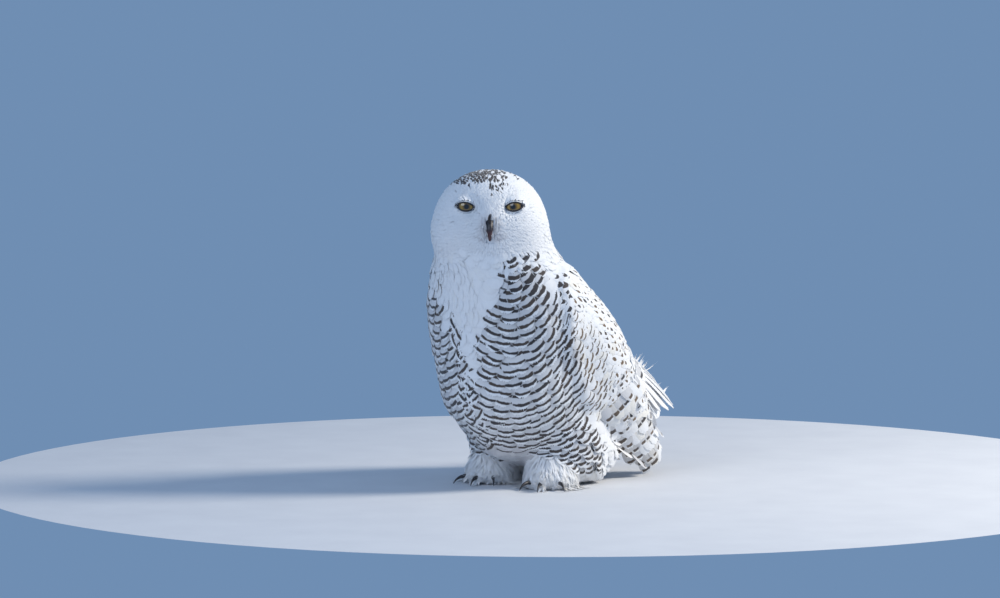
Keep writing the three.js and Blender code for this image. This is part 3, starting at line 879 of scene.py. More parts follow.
def jittered(headings, faces, spread):  # headings turned by a small random angle in the skin
    normals = faceNormal[faces]
    turn = random.normal(0, spread, (len(headings), 1))
    return unit(headings * np.cos(turn) + np.cross(normals, headings) * np.sin(turn))


def varied(count, spread):
    return 1 + random.uniform(-spread, spread, count)


def plumePiece(name, slot, template, chosen, places, headings, length, width, depth, marks, lay, softness):
    # lay: how high the roots and the tips lie, as shares of the coat's depth, and how the feathers bend
    coat = Coat()
    root = depth[chosen] * lay["root"]
    tip = depth[chosen] * random.uniform(*lay["tip"], chosen.sum())
    some = {key: value[chosen] for key, value in marks.items()}
    bend = {key: value for key, value in lay.items() if key not in ("root", "tip")}
    feathers = (places[chosen], headings[chosen], length[chosen], width[chosen])
    addPlumes(coat, template, *feathers, root, tip, some, **bend)
    coatPiece(coat, name, slot, plumage, softness=softness)


# breast, belly, flanks, back and thighs: broad feathers in rows
bodyPlumes = dict(
    rowStep=0.006, gap=0.0165, length=0.031, width=0.027, spread=0.15, top=0.350,
    smallest=0.62, legSmaller=0.25, neckSmaller=0.35, rumpLonger=0.4, rumpFlatter=0.35,
    underWing=0.62, tipAt=0.85, streaked=0.55, wristSpotted=0.65,
    shape=(5, 6, 0.35, 0.62, 0.05, 12, 0.16),
    lay=dict(root=0.25, tip=(0.95, 1.15), camber=0.06, curl=-0.05),
)


def makeBody():
    template = plumeTemplate(*bodyPlumes["shape"])
    levels = np.arange(0.012, 0.62, bodyPlumes["rowStep"])
    places, faces, rows = rowPlaces(skinRow, levels, bodyPlumes["gap"])
    top = bodyPlumes["top"] + random.uniform(-0.012, 0.006, len(places))
    keep = (triangleShare["wing"][faces] < 0.48) & (triangleShare["foot"][faces] < 0.5)
    keep &= (places[:, 2] > 0.012) & (places[:, 2] < top)
    places, faces, rows = places[keep], faces[keep], rows[keep]
    count = len(places)
    size = varied(count, 0.06) * np.maximum(ramp(places[:, 2], 0.0, 0.10) ** 0.4, bodyPlumes["smallest"])
    size = size * (1 - bodyPlumes["neckSmaller"] * ramp(places[:, 2], 0.27, 0.34))
    size = size * (1 - bodyPlumes["legSmaller"] * triangleShare["thigh"][faces])
    rump = ramp(places[:, 1], 0.03, 0.08) * ramp(places[:, 2], 0.07, 0.10)  # long soft feathers about the tail's root
    length = bodyPlumes["length"] * size * (1 + bodyPlumes["rumpLonger"] * rump)
    width = bodyPlumes["width"] * size
    depth = triangleDepth[faces] * (1 - bodyPlumes["rumpFlatter"] * rump)
    headings = jittered(triangleLie[faces], faces, bodyPlumes["spread"])
    # the tips stay off the floor
    length = np.minimum(length, (places[:, 2] - 0.001) / np.maximum(-headings[:, 2], 0.1))
    places = places + headings * random.normal(0, 0.0011, (count, 1))
    _, under = nearestSkin(places + headings * length[:, None])  # kept back from the front of the wing
    over = (triangleShare["wing"][under] > 0.5) & (places[:, 2] > 0.2)
    length = np.where(over, length * bodyPlumes["underWing"], length)
    # a feather's bar is drawn near its tip, so the place asked is where its tip lies
    tips = places + headings * length[:, None] * bodyPlumes["tipAt"]
    bars = barShare(tips)
    barred = bars > 0.25
    keep = (rows % 2 == 0) | ~barred
    kept = (places, faces, headings, bars, tips, length, width, depth, rows)
    places, faces, headings, bars, tips, length, width, depth, rows = (values[keep] for values in kept)
    count = len(places)
    around = aroundTrunk(tips)
    sparse = ramp(places[:, 2], 0.215, 0.25) * ramp(places[:, 0], 0.0, -0.03) * (0.8 - 0.35 * ramp(around, -48, -60))
    shown = (rows % 2 == 0) & (random.random(count) < bars * 2.2 * (1 - sparse))
    dense = np.exp(-(((around - 52) / 17) ** 2)) * ramp(tips[:, 2], 0.245, 0.285)
    bars = np.where(shown, np.clip(bars * 1.6, 0, 1) * random.uniform(0.75, 1.2, count) * (1 + 1.7 * dense), 0)
    back = ramp(places[:, 1], 0.0, 0.05) * ramp(places[:, 2], 0.12, 0.18)
    spots = np.where(random.random(count) < 0.3 * back, random.uniform(0.6, 1.0, count), 0)
    umber = random.uniform(0, 0.25, count)
    height = tips[:, 2]
    wrist = ramp(around, 72, 76) * ramp(around, 90, 86) * ramp(height, 0.245, 0.255) * ramp(height, 0.315, 0.305)
    wrist = random.random(count) < bodyPlumes["wristSpotted"] * wrist
    spots = np.where(wrist, random.uniform(1.3, 2.0, count), spots)
    bars = np.where(spots > 0, 0, bars)
    thin = (bars == 0) & (np.abs(around) > 64) & (np.abs(around) < 126) & (height > 0.105) & (height < 0.25)
    thin &= random.random(count) < bodyPlumes["streaked"]  # brown streaks on the white flanks
    bars = np.where(thin, random.uniform(0.15, 0.4, count), bars)
    umber = np.where(thin, random.uniform(0.3, 0.9, count), umber)
    marks = dict(bars=bars, spots=spots, umber=umber, tone=random.random(count) * 0.6)
    marks["blush"] = ventShare(tips) * random.uniform(0.15, 0.40, count)
    return template, places, headings, length, width, depth, marks


def makeBodyPieces():
    template, *laid = makeBody()
    left = laid[0][:, 0] >= 0
    for name, chosen in (("breastPlumes", left), ("flankPlumes", ~left)):
        plumePiece(name, "plumage_barred", template, chosen, *laid, bodyPlumes["lay"], 0.5)


makeBodyPieces()

# head, neck: small feathers, smallest on the face
headPlumes = dict(
    face=0.0021, crown=0.0036, neck=0.0052,  # metres between feathers
    long=3.6, wide=1.8,  # times that distance
    shape=(3, 4, 0.5, 0.55, 0.08, 6, 0.22), faceShape=(2, 3, 0.6, 0.5, 0.1, 3, 0.3),
    lay=dict(root=0.4, tip=(0.90, 1.0), grain=2.3, camber=0.03, curl=-0.04, stations=4),
    # the strengths for the gape's line and for the crease over each eye are painted shade
    gapeHeight=-0.0205, gapeSlope=0.31, gapeShadow=0.42, billDarkening=0.36, creaseShade=0.16,  # how dark each shows
    bristles=dict(count=70, sides=0.75, length=0.012, ridgeLength=0.008, width=0.0016, root=0.003, ridgeTip=0.0085),
)


def eyeClear(points):  # False inside the rims of the lids
    clear = np.ones(len(points), bool)
    for side in eyeCentres:
        u, w, forward = eyePlaces(points, side)
        clear &= (almond(u, w, side, eyeSettings["rimWidth"] + 0.0006) > 1) | (forward < 0)
    return clear


def makeHead():
    template = plumeTemplate(*headPlumes["shape"])
    small = plumeTemplate(*headPlumes["faceShape"])
    face = faceShare(triangleMiddle)
    lowest = bodyPlumes["top"] - 0.014 + random.uniform(-0.012, 0.012, len(triangleMiddle))
    upper = (triangleShare["head"] + triangleShare["neck"]) * (triangleMiddle[:, 2] > lowest)
    face = face * ramp(triangleMiddle[:, 2], 0.332, 0.350)
    neck = ramp(triangleMiddle[:, 2], 0.38, 0.34) * (1 - face)
    spacing = headPlumes["face"] * face + headPlumes["crown"] * (1 - face)
    spacing = spacing * (1 - neck) + headPlumes["neck"] * neck
    places, faces = scattered(spacing, upper > 0.45)
    across, forward, up = headPlaces(places)
    bill = (np.abs(across) < 0.0054) & (up < 0.002) & (up > -0.028) & (forward > 0.03)
    clear = eyeClear(places) & ~bill
    places, faces = places[clear], faces[clear]
    count = len(places)
    headings = jittered(triangleLie[faces], faces, 0.13)
    gap = spacing[faces]
    length = gap * headPlumes["long"] * varied(count, 0.15)
    width = gap * headPlumes["wide"] * varied(count, 0.12)
    depth = triangleDepth[faces]
    across, forward, up = headPlaces(places)
    spots = np.where(random.random(count) < crownShare(places) * 0.9, random.uniform(2.1, 3.6, count), 0)
    # painted shadow along the gape's line below the bill, a pinkish-grey darkening about the bill's lower half, and
    # painted shade in a crease over each eye
    line = np.abs(up - headPlumes["gapeHeight"] - headPlumes["gapeSlope"] * np.abs(across))
    blush = ramp(line, 0.0042, 0.0008) * ramp(np.abs(across), 0.024, 0.010) * headPlumes["gapeShadow"]
    # a pinkish-grey darkening about the bill's lower half
    around = np.hypot(across / 0.016, (up + 0.010) / 0.020)
    blush = np.maximum(blush, ramp(around, 1.2, 0.2) * headPlumes["billDarkening"]) * (forward > 0)
    for side in eyeCentres:
        u, w, _ = eyePlaces(places, side)
        # painted shade in the crease over the eye
        creaseShade = ramp(np.abs(u), 0.003, 0.0005) * ramp(w, 0.007, 0.010) * ramp(w, 0.021, 0.013)
        blush = np.maximum(blush, creaseShade * headPlumes["creaseShade"])
    marks = dict(spots=spots, umber=random.uniform(0, 0.2, count), tone=random.random(count) * 0.45)
    marks["blush"] = blush * random.uniform(0.6, 1.1, count)
    fine = face[faces] > 0.5
    for name, shape, chosen in (("facePlumes", small, fine), ("headPlumes", template, ~fine)):
        laid = (places, headings, length, width, depth, marks)
        plumePiece(name, "plumage_white", shape, chosen, *laid, headPlumes["lay"], 0.86)
    makeBristles(small)


def makeBristles(template):  # thin feathers that lie along both sides of the bill, and dark ones down its ridge
    bristles = headPlumes["bristles"]
    count = bristles["count"]
    dark = np.arange(count) >= count * bristles["sides"]
    side = np.where(np.arange(count) % 2 == 0, 1.0, -1.0)
    down = np.where(dark, random.uniform(-0.001, 0.013, count), random.uniform(-0.010, 0.008, count))
    out = side * np.where(dark, random.uniform(0, 0.0012, count), random.uniform(0.0058, 0.0105, count))
    places = np.array(headCentre) + np.outer(out, headAcross) + np.outer(down, upward) + np.array(headForward) * 0.07
    places, faces = nearestSkin(places)
    inward = np.outer(-side * random.uniform(0.0, 0.15, count) * ~dark, headAcross)
    headings = tangent(inward - np.array(upward), faceNormal[faces])
    marks = dict(blush=random.uniform(0.05, 0.45, count), tone=random.random(count), spots=dark * 8.0)
    coat = Coat()
    length = np.where(dark, bristles["ridgeLength"], bristles["length"]) * varied(count, 0.2)
    width = np.full(count, bristles["width"])
    tip = np.where(dark, bristles["ridgeTip"], random.uniform(0.004, 0.0075, count))
    root = np.full(count, bristles["root"])
    addPlumes(coat, template, places, headings, length, width, root, tip, marks, camber=0.03, stations=4)
    coatPiece(coat, "billBristles", "plumage_white", plumage, softness=0.8)


makeHead()

# wing coverts: rows along the folded wing, spotted
wingPlumes = dict(
    rowStep=0.0080, gap=0.0125, length=0.034, width=0.022,
    shape=(5, 6, 0.4, 0.66, 0.04, 8, 0.12),
    lay=dict(root=0.2, tip=(0.9, 1.1), camber=0.06, curl=-0.03),
    front=([-0.30, -0.176, -0.15, -0.12], [0.092, 0.096, 0.075, 0.035]),  # flank feathers lie over it before this
    reach=0.26, spotted=0.80, streaked=0.75, dashed=0.6,  # shares of the feathers
)


def makeCoverts():
    along = skinPoints @ wingDown
    template = plumeTemplate(*wingPlumes["shape"])
    levels = np.arange(along.min(), along.max(), wingPlumes["rowStep"])
    places, faces, _ = rowPlaces(along, levels, wingPlumes["gap"])
    keep = triangleShare["wing"][faces] > 0.38
    keep &= np.abs(faceNormal[faces] @ wingDown) < 0.6
    places, faces = places[keep], faces[keep]
    count = len(places)
    start = along[share["wing"] > 0.6].min()
    down = (places @ wingDown - start) / wingPlumes["reach"]
    size = (0.66 + 0.30 * np.clip(down, 0, 1)) * varied(count, 0.1)
    before = np.interp(places @ wingDown, *wingPlumes["front"]) - places @ wingUp
    flank = ramp(before, -0.008, 0.006)
    headings = triangleLie[faces] * (1 - flank)[:, None] + np.array([0.0, 1.0, -0.25]) * flank[:, None]
    headings = jittered(tangent(headings, faceNormal[faces]), faces, 0.10)
    length, width = wingPlumes["length"] * size, wingPlumes["width"] * size
    depth = triangleDepth[faces] + 0.001
    flank = random.random(count) < flank
    spots = np.where((random.random(count) < wingPlumes["spotted"]) & ~flank, random.uniform(0.85, 1.4, count), 0)
    streaked = flank & (random.random(count) < wingPlumes["streaked"])
    bars = np.where(streaked, random.uniform(0.12, 0.35, count) + ramp(before, 0.01, 0.04) * 0.4, 0)
    # short bars take the spots' place lower down
    dashed = (random.random(count) < wingPlumes["dashed"] * ramp(down, 0.45, 0.6)) & (spots > 0)
    bars = np.where(dashed, random.uniform(0.8, 1.5, count), bars)
    spots = np.where(dashed, random.uniform(-0.62, -0.45, count), spots)
    umber = np.where(flank, random.uniform(0.3, 0.9, count), random.choice([0.0, 0.25, 0.8, 1.0], count))
    marks = dict(bars=bars, spots=spots, umber=umber, tone=random.random(count) * 0.9)
    for name, chosen in (("covertsLeft", places[:, 0] > 0), ("covertsRight", places[:, 0] < 0)):
        laid = (places, headings, length, width, depth, marks)
        plumePiece(name, "plumage_spotted", template, chosen, *laid, wingPlumes["lay"], 0.5)


makeCoverts()

# feet and lower legs: short hair-like feathers
legPlumes = dict(
    apart=0.0027, length=0.022, width=0.0038,
    shape=(2, 5, 0.7, 0.25, 0.2, 5, 0.25),
    lay=dict(root=0.2, tip=(0.7, 1.2), camber=0.05, curl=-0.06, stations=5),
)


def makeLegs():
    template = plumeTemplate(*legPlumes["shape"])
    foot = triangleShare["foot"]
    allowed = (foot > 0.4) & (triangleMiddle[:, 2] > 0.004)
    spacing = np.full(len(foot), legPlumes["apart"])
    places, faces = scattered(spacing, allowed)
    count = len(places)
    headings = jittered(triangleLie[faces], faces, 0.25)
    length = legPlumes["length"] * varied(count, 0.3)
    width = legPlumes["width"] * varied(count, 0.25)
    marks = dict(tone=random.random(count) * 0.7)
    laid = (places, headings, length, width, triangleDepth[faces], marks)
    plumePiece("footPlumes", "plumage_white", template, np.ones(count, bool), *laid, legPlumes["lay"], 0.85)


makeLegs()


# eyes
def makeEye(side):
    centre = eyeCentres[side]
    sign = 1 if side == "left" else -1
    ball = bmesh.new()
    bmesh.ops.create_uvsphere(ball, u_segments=40, v_segments=28, radius=eyeRadius)
    bmesh.ops.translate(ball, verts=ball.verts, vec=centre)
    mesh = meshFrom(ball, f"eyeball_{side}")
    gaze = (headForward - headAcross * sign * eyeSettings["inward"]).normalized()
    recipe = Recipe(f"eye_{side}", Roughness=0.06, Coat_Weight=1.0, Coat_Roughness=0.02)
    objects = recipe.node("TexCoord").outputs["Object"]
    offset = recipe.node("VectorMath", {0: objects, 1: centre}, operation="SUBTRACT").outputs["Vector"]
    crossed = recipe.node("VectorMath", {0: offset, 1: gaze}, operation="CROSS_PRODUCT").outputs["Vector"]
    radial = recipe.node("VectorMath", {0: crossed}, operation="LENGTH").outputs["Value"]
    radial = recipe.sum("DIVIDE", radial, eyeRadius)
    ahead = recipe.node("VectorMath", {0: offset, 1: gaze}, operation="DOT_PRODUCT").outputs["Value"]
    flecks = recipe.noise(objects, 1400.0)
    middle = eyeSettings["pupil"] + (eyeSettings["iris"] - eyeSettings["pupil"]) * 0.55
    ring = recipe.band(radial, eyeSettings["pupil"], middle)
    ring = recipe.times(ring, recipe.band(radial, eyeSettings["iris"], middle))
    ring = recipe.times(ring, recipe.scaled(flecks, 0.8, 0.6), clamp=True)
    colour = recipe.mixed(ring, eyeSettings["amber"], eyeSettings["gold"])
    inner = recipe.band(radial, eyeSettings["pupil"] - 0.02, eyeSettings["pupil"] + 0.02)
    outer = recipe.band(radial, eyeSettings["iris"] + 0.03, eyeSettings["iris"] - 0.03)
    shown = recipe.times(recipe.times(inner, outer), recipe.band(ahead, 0.0, 0.001))
    recipe.into("Base Color", recipe.mixed(shown, eyeSettings["black"], colour))
    mesh.materials.append(recipe.material)
    finished(asObject(mesh, f"eyeball_{side}"), "eye_amber", f"eye_{side}")
    makeLid(side, centre, sign)


lidMaterial = Recipe("lid", Roughness=0.5)
lidGrain = lidMaterial.noise(lidMaterial.node("TexCoord").outputs["Object"], 500.0)
lidMaterial.into("Base Color", lidMaterial.mixed(lidGrain, eyeSettings["lidDark"], eyeSettings["lidPale"]))


def makeLid(side, centre, sign):
    # the lids' bare dark rim, an almond ring on the ball
    rings = ((-0.0012, 1.0), (-0.0010, 1.05), (-0.0002, 1.09), (0.0006, 1.09), (0.0014, 1.0))
    tilt = eyeSettings["tilt"] * sign
    lid = bmesh.new()
    bmesh.ops.create_circle(lid, segments=56, radius=1.0)
    edges = list(lid.edges)

    def lay(verts, wider, lift):
        for vertex, angle in verts:
            x = math.cos(angle) * (eyeSettings["openingWidth"] + wider)
            z = math.copysign(abs(math.sin(angle)) ** 1.4, math.sin(angle)) * (eyeSettings["openingHeight"] + wider)
            x, z = x * math.cos(tilt) - z * math.sin(tilt), x * math.sin(tilt) + z * math.cos(tilt)
            depth = math.sqrt(max(eyeRadius**2 - x * x - z * z, 1e-6))
            outward = (headAcross * x + headForward * depth + upward * z).normalized()
            vertex.co = centre + outward * eyeRadius * lift

    turns = {v: math.atan2(v.co.y, v.co.x) for v in lid.verts}
    lay(turns.items(), *rings[0])
    for wider, lift in rings[1:]:
        made = bmesh.ops.extrude_edge_only(lid, edges=edges)["geom"]
        fresh = [g for g in made if isinstance(g, bmesh.types.BMVert)]
        edges = [g for g in made if isinstance(g, bmesh.types.BMEdge) and all(v in fresh for v in g.verts)]
        nearest = {}
        for vertex in fresh:
            source = next(e.other_vert(vertex) for e in vertex.link_edges if e.other_vert(vertex) in turns)
            nearest[vertex] = turns[source]
        turns = nearest
        lay(turns.items(), wider, lift)
    bmesh.ops.recalc_face_normals(lid, faces=lid.faces)
    mesh = meshFrom(lid, f"lid_{side}")
    mesh.materials.append(lidMaterial.material)
    finished(asObject(mesh, f"lid_{side}"), "horn_black")


for side in eyeCentres:
    makeEye(side)
print("eyes and lids")

# bill and claws: the solids' own shapes, made smooth
hornSettings = dict(black=(0.016, 0.014, 0.017, 1), grey=(0.05, 0.046, 0.05, 1), maroon=(0.075, 0.022, 0.022, 1))


def hornMaterial(name, low, high):  # black horn, dark red between two heights
    recipe = Recipe(name, Roughness=0.45, Coat_Weight=0.12, Coat_Roughness=0.25)
    objects = recipe.node("TexCoord").outputs["Object"]
    grain = recipe.noise(objects, 240.0, 3.0)
    colour = recipe.mixed(recipe.band(grain, 0.45, 0.7), hornSettings["black"], hornSettings["grey"])
    height = recipe.node("SeparateXYZ", {"Vector": objects}).outputs["Z"]
    red = recipe.times(recipe.band(height, high, (low + high) / 2), recipe.band(height, low - 0.002, low))
    recipe.into("Base Color", recipe.mixed(recipe.times(red, 0.8), colour, hornSettings["maroon"]))
    recipe.bump(grain, 0.15, 0.0005)
    return recipe.material


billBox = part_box("bill_upper")
horns = {
    "bill": hornMaterial("bill", billBox[0][2], (billBox[0][2] + billBox[1][2]) / 2),
    "claw": hornMaterial("claw", -1.0, -0.9),
}


def roundedSolid(name, label, slot, material, draw=1):
    copy = bmesh.new()
    copy.from_mesh(nodes[name].data)
    bmesh.ops.remove_doubles(copy, verts=copy.verts, dist=1e-5)
    source = asObject(meshFrom(copy, name), "source")
    smooth = withModifiers(source, ("SUBSURF", dict(levels=2, render_levels=2)))
    bpy.data.objects.remove(source)
    smooth.materials.clear()
    low, high = (np.array(corner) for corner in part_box(name))  # smoothing draws it in: back to the solid's own size
    points = meshPoints(smooth)
    points = low + (points - points.min(0)) * (high - low) / (points.max(0) - points.min(0))
    root = np.array([(low[0] + high[0]) / 2, low[1], high[2]])
    points = root + (points - root) * draw
    smooth.vertices.foreach_set("co", points.ravel())
    smooth.materials.append(material)
    finished(asObject(smooth, label), slot, name)


for name in [n for n in nodes if n.startswith(("bill", "claw"))]:
    roundedSolid(name, f"{name}_horn", "horn_black", horns[name.split("_")[0]])
print("bill and claws")

# flight feathers and tail: closed vanes laid along the solids' own sheets
quillSettings = dict(
    thickness=0.0011, stations=8,
    tail=dict(
        order=[-1, 1, -0.85, 0.85, -0.66, 0.66, -0.5, 0.5, -0.33, 0.33, -0.16, 0.16, 0],
        rootSpread=0.019, tipSpread=0.046, start=0.045, width=0.036, lift=0.002, shorter=0.058, droop=0.003,
        fanDraw=(0.84, 0.93, 0.93),  # the closed fan that the vanes lie on ends inside their tips
    ),
    tailCoverts=dict(
        rows=[0.042, 0.060, 0.080, 0.100, 0.118], reach=0.050, width=0.026, spread=0.034, gap=0.0125, flare=0.002,
        shape=(5, 6, 0.35, 0.6, 0.08, 14, 0.3),
        wisps=[(20, 0.178, 0.013), (9, 0.214, 0.008)],  # how many, where along the tail, how tall
    ),
    coverts=dict(
        rows=[-0.126, -0.112, -0.096, -0.078, -0.058, -0.038, -0.017, 0.004, 0.024, 0.042],
        low=[0.046, 0.046, 0.046, 0.047, 0.049, 0.052, 0.057, 0.064, 0.073, 0.084],
        high=[0.165, 0.160, 0.157, 0.155, 0.153, 0.151, 0.148, 0.143, 0.138, 0.134],
        gap=0.0108, reach=0.044, width=0.021, lift=0.006, root=-0.7,  # the roots lie under the row before
        frontAt=(0.030, 0.012), marked=(0.85, 0.25, 0.4, -0.2),  # even rows, odd rows, more in front, fewer late
    ),
    secondaries=dict(
        count=8, width=0.026, roots=[(-0.128, 0.132), (-0.118, 0.178)],
        tips=[(0.050, 0.123), (0.020, 0.130), (-0.010, 0.138), (-0.045, 0.158)],
    ),
    primaries=dict(
        count=12, width=0.018, roots=[(-0.105, 0.058), (-0.105, 0.132)],
        tips=[(0.012, 0.076), (0.056, 0.097), (0.100, 0.116), (0.098, 0.124), (0.075, 0.128)],
    ),
)


class Sheet:  # the outer face of a thin solid
    def __init__(self, outward, *names):
        points, faces = [], []
        for name in names:
            faces += [[i + len(points) for i in p.vertices] for p in nodes[name].data.polygons]
            points += [v.co.copy() for v in nodes[name].data.vertices]
        self.tree = BVHTree.FromPolygons(points, faces)
        self.outward = Vector(outward)

    def below(self, place):
        place = Vector(place)
        spot, normal, _, _ = self.tree.ray_cast(place + self.outward * 0.3, -self.outward)
        if spot is None:
            return None
        if normal.dot(self.outward) < 0.2:
            normal = self.outward
        return spot.dot(self.outward), normal


def quillTemplate(columns, rows):
    sheet = bmesh.new()
    bmesh.ops.create_grid(sheet, x_segments=columns, y_segments=rows, size=0.5)
    for vertex in sheet.verts:
        across, along = vertex.co.x * 2, vertex.co.y + 0.5
        narrow = 0.45 + 0.55 * math.sin(min(along / 0.45, 1) * math.pi / 2)
        blunt = math.sqrt(max(1 - (max(along - 0.80, 0) / 0.203) ** 2.2, 0))
        vertex.co = (across * narrow * blunt, along, 0)
    bmesh.ops.solidify(sheet, geom=sheet.faces, thickness=0.01)
    bmesh.ops.triangulate(sheet, faces=[f for f in sheet.faces if len(f.verts) > 4])
    sheet.verts.index_update()
    points = np.array([v.co[:] for v in sheet.verts])
    faces = [[v.index for v in f.verts] for f in sheet.faces]
    under = points[:, 2] < points[:, 2].mean()
    sheet.free()
    return (points[:, 0], points[:, 1], faces), under


quillShape, quillUnder = quillTemplate(6, 12)


def layQuills(coat, sheet, lines, width, lifts, marks, flare=0.0, lean=0.0, shape=None, root=0.4):
    # lines: places along each feather; root: the height of its root as a share of its lift
    spots, normals = [], []
    steps = np.linspace(0, 1, lines.shape[1])
    for line in lines:
        hits = [(step, *hit) for step, hit in zip(steps, map(sheet.below, line)) if hit]
        if len(hits) > 2:  # a feather beside the sheet takes the heights of the last one
            at, found, facing = [h[0] for h in hits], [h[1] for h in hits], [h[2][:] for h in hits]
            smooth = np.polyval(np.polyfit(at, found, 2 if len(hits) > 4 else 1), steps)
        outward = np.array(sheet.outward)
        spots.append(line + outward * (smooth - line @ outward)[:, None])
        normals.append(np.tile(np.mean(facing, axis=0), (len(line), 1)))
    spots, normals = np.array(spots), np.array(normals)
    normals[..., 0] += np.broadcast_to(lean, len(lines))[:, None]
    normals = unit(normals)
    headings = unit(np.gradient(spots, axis=1))
    sides = unit(np.cross(headings, normals))
    normals = np.cross(sides, headings)
    thickness = quillUnder[None] * quillSettings["thickness"] if shape is None else 0.0
    shape = shape or quillShape
    across, along, _ = shape
    length = np.linalg.norm(np.diff(spots, axis=1), axis=2).sum(1)
    height = lifts[:, None] * (root + (1 - root) * along[None]) - across[None] ** 2 * width[:, None] * 0.06
    height = height + np.broadcast_to(flare, len(lines))[:, None] * along[None] ** 3 - thickness
    laid = bent(shape, spots, normals, sides, normals, width, height)
    gather(coat, shape, laid, spots[:, 0], length, marks)


def paleMarks(count, strength):  # faint marks in a few of the feathers
    some = random.random(count) < 0.6
    bars = np.where(some, random.uniform(0.5, 1.0, count) * strength, 0)
    return dict(bars=bars, umber=random.uniform(0.5, 1.0, count), tone=random.random(count) * 0.6)


def tailLine(x, y):  # places over the tail
    return np.stack([x, y, np.full_like(y, 0.15)], axis=1)


def makeTail():
    settings = quillSettings["tail"]
    sheet = Sheet((0, 0, 1), "tail")
    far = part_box("tail")[1][1]
    order = settings["order"]
    steps = np.linspace(0, 1, quillSettings["stations"])
    lines = []
    for o in order:
        tip = far - 0.002 - settings["shorter"] * abs(o) ** 4.2
        x = o * (settings["rootSpread"] + (settings["tipSpread"] - settings["rootSpread"]) * steps)
        y = settings["start"] + (tip - settings["start"]) * steps
        lines.append(tailLine(x, y))
    lifts = np.array([settings["lift"] * (1 - abs(o)) - settings["droop"] * (abs(o) > 0.8) for o in order])
    coat = Coat()
    count = len(order)
    layQuills(coat, sheet, np.array(lines), np.full(count, settings["width"]), lifts, paleMarks(count, 0.06))
    coatPiece(coat, "tailFeathers", "plumage_white", quillMaterial)
    roundedSolid("tail", "tailFan", "plumage_white", quillMaterial, np.array(settings["fanDraw"]))
    # soft feathers over the tail's root, some with their ends standing up
    settings = quillSettings["tailCoverts"]
    lines, lean, wisps = [], [], []
    for number, start in enumerate(settings["rows"]):
        aside = number % 2 * settings["gap"] / 2
        places = np.arange(-settings["spread"] + aside, settings["spread"], settings["gap"])
        for x in places + random.normal(0, 0.0015, len(places)):
            y = start + random.normal(0, 0.004) + settings["reach"] * steps
            lines.append(tailLine(x * (1 + 0.3 * steps), y))
            lean.append(x / settings["spread"])
    broad = len(lines)
    for number, middle, height in settings["wisps"]:
        for _ in range(number):
            y = middle + random.normal(0, 0.006) + random.uniform(0.2, 0.6) * height * steps
            lines.append(tailLine(random.normal(0, 0.010) + random.normal(0, 0.003) * steps, y))
            lean.append(0)
            wisps.append(height * random.uniform(0.5, 1.1))
    count = len(lines)
    shape = plumeTemplate(*settings["shape"])
    flare = np.concatenate([settings["flare"] * random.random(broad) ** 2, wisps])
    width = np.concatenate([settings["width"] * varied(broad, 0.15), np.full(len(wisps), 0.0035)])
    lifts = 0.0015 + 0.0015 * random.random(count)
    coat = Coat()
    sheet = Sheet((0, 0, 1), "tail", "trunk")
    layQuills(coat, sheet, np.array(lines), width, lifts, dict(tone=random.random(count) * 0.5), flare, lean, shape)
    coatPiece(coat, "tailCoverts", "plumage_white", plumage)


def wingLine(a, b, sign):  # places a along and b across the folded wing, out at its side
    return np.outer(a, wingDown) + np.outer(b, wingUp) + [0.08 * sign, 0, 0]


def makeFlight(side, name):
    settings = quillSettings[name]
    sign = 1 if side == "left" else -1
    sheet = Sheet((sign, 0, 0), f"wing_{side}_{name}", f"wing_{side}_coverts")
    ranks = np.linspace(0, 1, settings["count"])
    roots, tips = np.array(settings["roots"]), np.array(settings["tips"])
    steps = np.linspace(0, 1, quillSettings["stations"])
    lines = []
    for rank in ranks:
        root = roots[0] + (roots[1] - roots[0]) * rank
        tip = [np.interp(rank, np.linspace(0, 1, len(tips)), tips[:, i]) for i in (0, 1)]
        a = root[0] + (tip[0] - root[0]) * steps
        b = root[1] + (tip[1] - root[1]) * steps
        lines.append(wingLine(a, b, sign))
    lifts = ranks * 0.003 + (0.0015 if name == "secondaries" else 0.0)
    coat = Coat()
    count = len(ranks)
    marks = paleMarks(count, 0.05)
    if name == "primaries":
        # painted shade: the lowest primaries darkened olive-brown, where the wing's shaded underside shows below
        marks["blush"] = ramp(ranks, 0.3, 0.0) * 0.8
    layQuills(coat, sheet, np.array(lines), np.full(count, settings["width"]), lifts, marks)
    coatPiece(coat, f"{name}_{side}", "plumage_spotted", quillMaterial, f"wing_{side}_{name}")


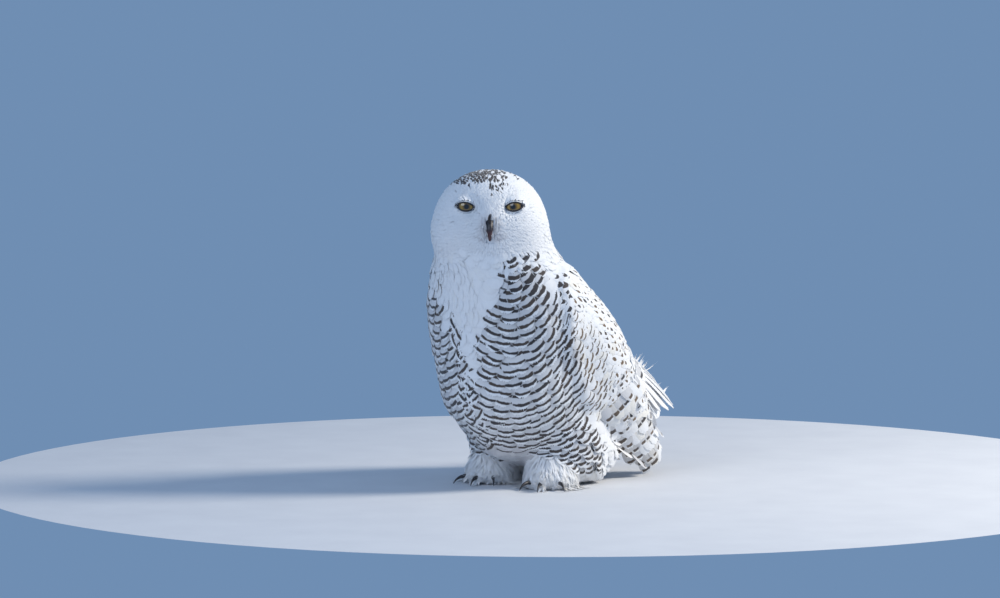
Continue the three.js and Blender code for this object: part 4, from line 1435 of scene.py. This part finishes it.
def makeFlightCoverts(side):  # spotted feathers over the flight feathers' roots
    settings = quillSettings["coverts"]
    sign = 1 if side == "left" else -1
    sheet = Sheet((sign, 0, 0), *[f"wing_{side}_{part}" for part in ("coverts", "secondaries", "primaries")])
    steps = np.linspace(0, 1, quillSettings["stations"])
    lines, late, front, even = [], [], [], []
    for number, (start, low, high) in enumerate(zip(settings["rows"], settings["low"], settings["high"])):
        for root in np.arange(low + number % 2 * settings["gap"] / 2, high, settings["gap"]):
            root = root + random.normal(0, 0.001)
            a = start + random.normal(0, 0.002) + settings["reach"] * steps
            b = root + (0.108 - root) * 0.14 * steps
            lines.append(wingLine(a, b, sign))
            front.append(float(ramp(root, *(low + at for at in settings["frontAt"]))))
            late.append((number + 1) / len(settings["rows"]) * (1 - front[-1]))
            even.append(number % 2 == 0)
    count, late, front, even = len(lines), np.array(late), np.array(front), np.array(even)
    often, seldom, inFront, lateOn = settings["marked"]
    bold = random.random(count) < np.where(even, often, seldom + inFront * front) + lateOn * late
    bars = np.where(bold, random.uniform(0.8, 1.8, count) * (1 + 0.8 * front), 0)
    spots = np.where(bold, random.uniform(-0.55, -0.35, count) + 0.15 * front, 0)
    umber = np.where(front > 0.4, random.uniform(0.1, 0.55, count), random.choice([0.1, 0.5, 0.9], count))
    marks = dict(bars=bars, spots=spots, umber=umber, tone=random.random(count) * 0.9)
    coat = Coat()
    shape = plumeTemplate(*wingPlumes["shape"])
    width = settings["width"] * varied(count, 0.1)
    lifts = settings["lift"] + 0.001 * random.random(count)
    layQuills(coat, sheet, np.array(lines), width, lifts, marks, shape=shape, root=settings["root"])
    coatPiece(coat, f"flightCoverts_{side}", "plumage_spotted", plumage)


# the quills' tint colour is olive-brown, painted shade on the lowest primaries
quillMaterial = plumeMaterial("quills", plumeColours["olive"])
makeTail()
for side in eyeCentres:
    makeFlight(side, "secondaries")
    makeFlight(side, "primaries")
    makeFlightCoverts(side)

# studio
studio = dict(
    azimuth=38, elevation=5, lens=200, distance=7.94, aim=(-0.037, -0.091, 0.264),
    floorRadius=0.85, floorColour=(0.62, 0.63, 0.66, 1), floorPale=(0.72, 0.73, 0.75, 1),
    sky=(0.16, 0.27, 0.45, 1), skyStrength=1.0,
    lights=dict(  # turn from the camera, elevation, distance, size, watts, colour
        key=(88, 34, 3.0, 0.9, 96, (1.0, 0.94, 0.84)),
        fill=(-30, 25, 3.2, 2.0, 30, (0.80, 0.87, 1.0)),
    ),
)


def direction(azimuth, elevation):
    a, e = math.radians(azimuth), math.radians(elevation)
    return Vector((math.sin(a) * math.cos(e), -math.cos(a) * math.cos(e), math.sin(e)))


def aimed(thing, place, target):
    thing.location = place
    thing.rotation_euler = (Vector(target) - place).to_track_quat("-Z", "Y").to_euler()
    bpy.context.scene.collection.objects.link(thing)


def addLight(name, azimuth, elevation, distance, size, energy, colour):
    lamp = bpy.data.lights.new(name, "AREA")
    lamp.shape, lamp.size, lamp.energy, lamp.color = "DISK", size, energy, colour
    target = Vector(studio["aim"])
    aimed(bpy.data.objects.new(name, lamp), target + direction(azimuth, elevation) * distance, target)


disc = bmesh.new()
bmesh.ops.create_circle(disc, cap_ends=True, segments=96, radius=studio["floorRadius"])
floorMesh = meshFrom(disc, "floor")
floor = asObject(floorMesh, "floor")
floorRecipe = Recipe("floor", Roughness=0.8)
grain = floorRecipe.noise(floorRecipe.node("TexCoord").outputs["Object"], 12.0, 5.0)
floorRecipe.into("Base Color", floorRecipe.mixed(grain, studio["floorColour"], studio["floorPale"]))
floorMesh.materials.append(floorRecipe.material)

world = bpy.data.worlds.new("studio")
bpy.context.scene.world = world
world.use_nodes = True
world.node_tree.nodes["Background"].inputs["Color"].default_value = studio["sky"]
world.node_tree.nodes["Background"].inputs["Strength"].default_value = studio["skyStrength"]

for name, (turn, *rest) in studio["lights"].items():
    addLight(name, studio["azimuth"] + turn, *rest)

camera = bpy.data.cameras.new("camera")
camera.lens = studio["lens"]
camera.sensor_width = 36
holder = bpy.data.objects.new("camera", camera)
aim = Vector(studio["aim"])
aimed(holder, aim + direction(studio["azimuth"], studio["elevation"]) * studio["distance"], aim)
bpy.context.scene.camera = holder
bpy.context.scene.view_settings.view_transform = "Standard"
print("studio")
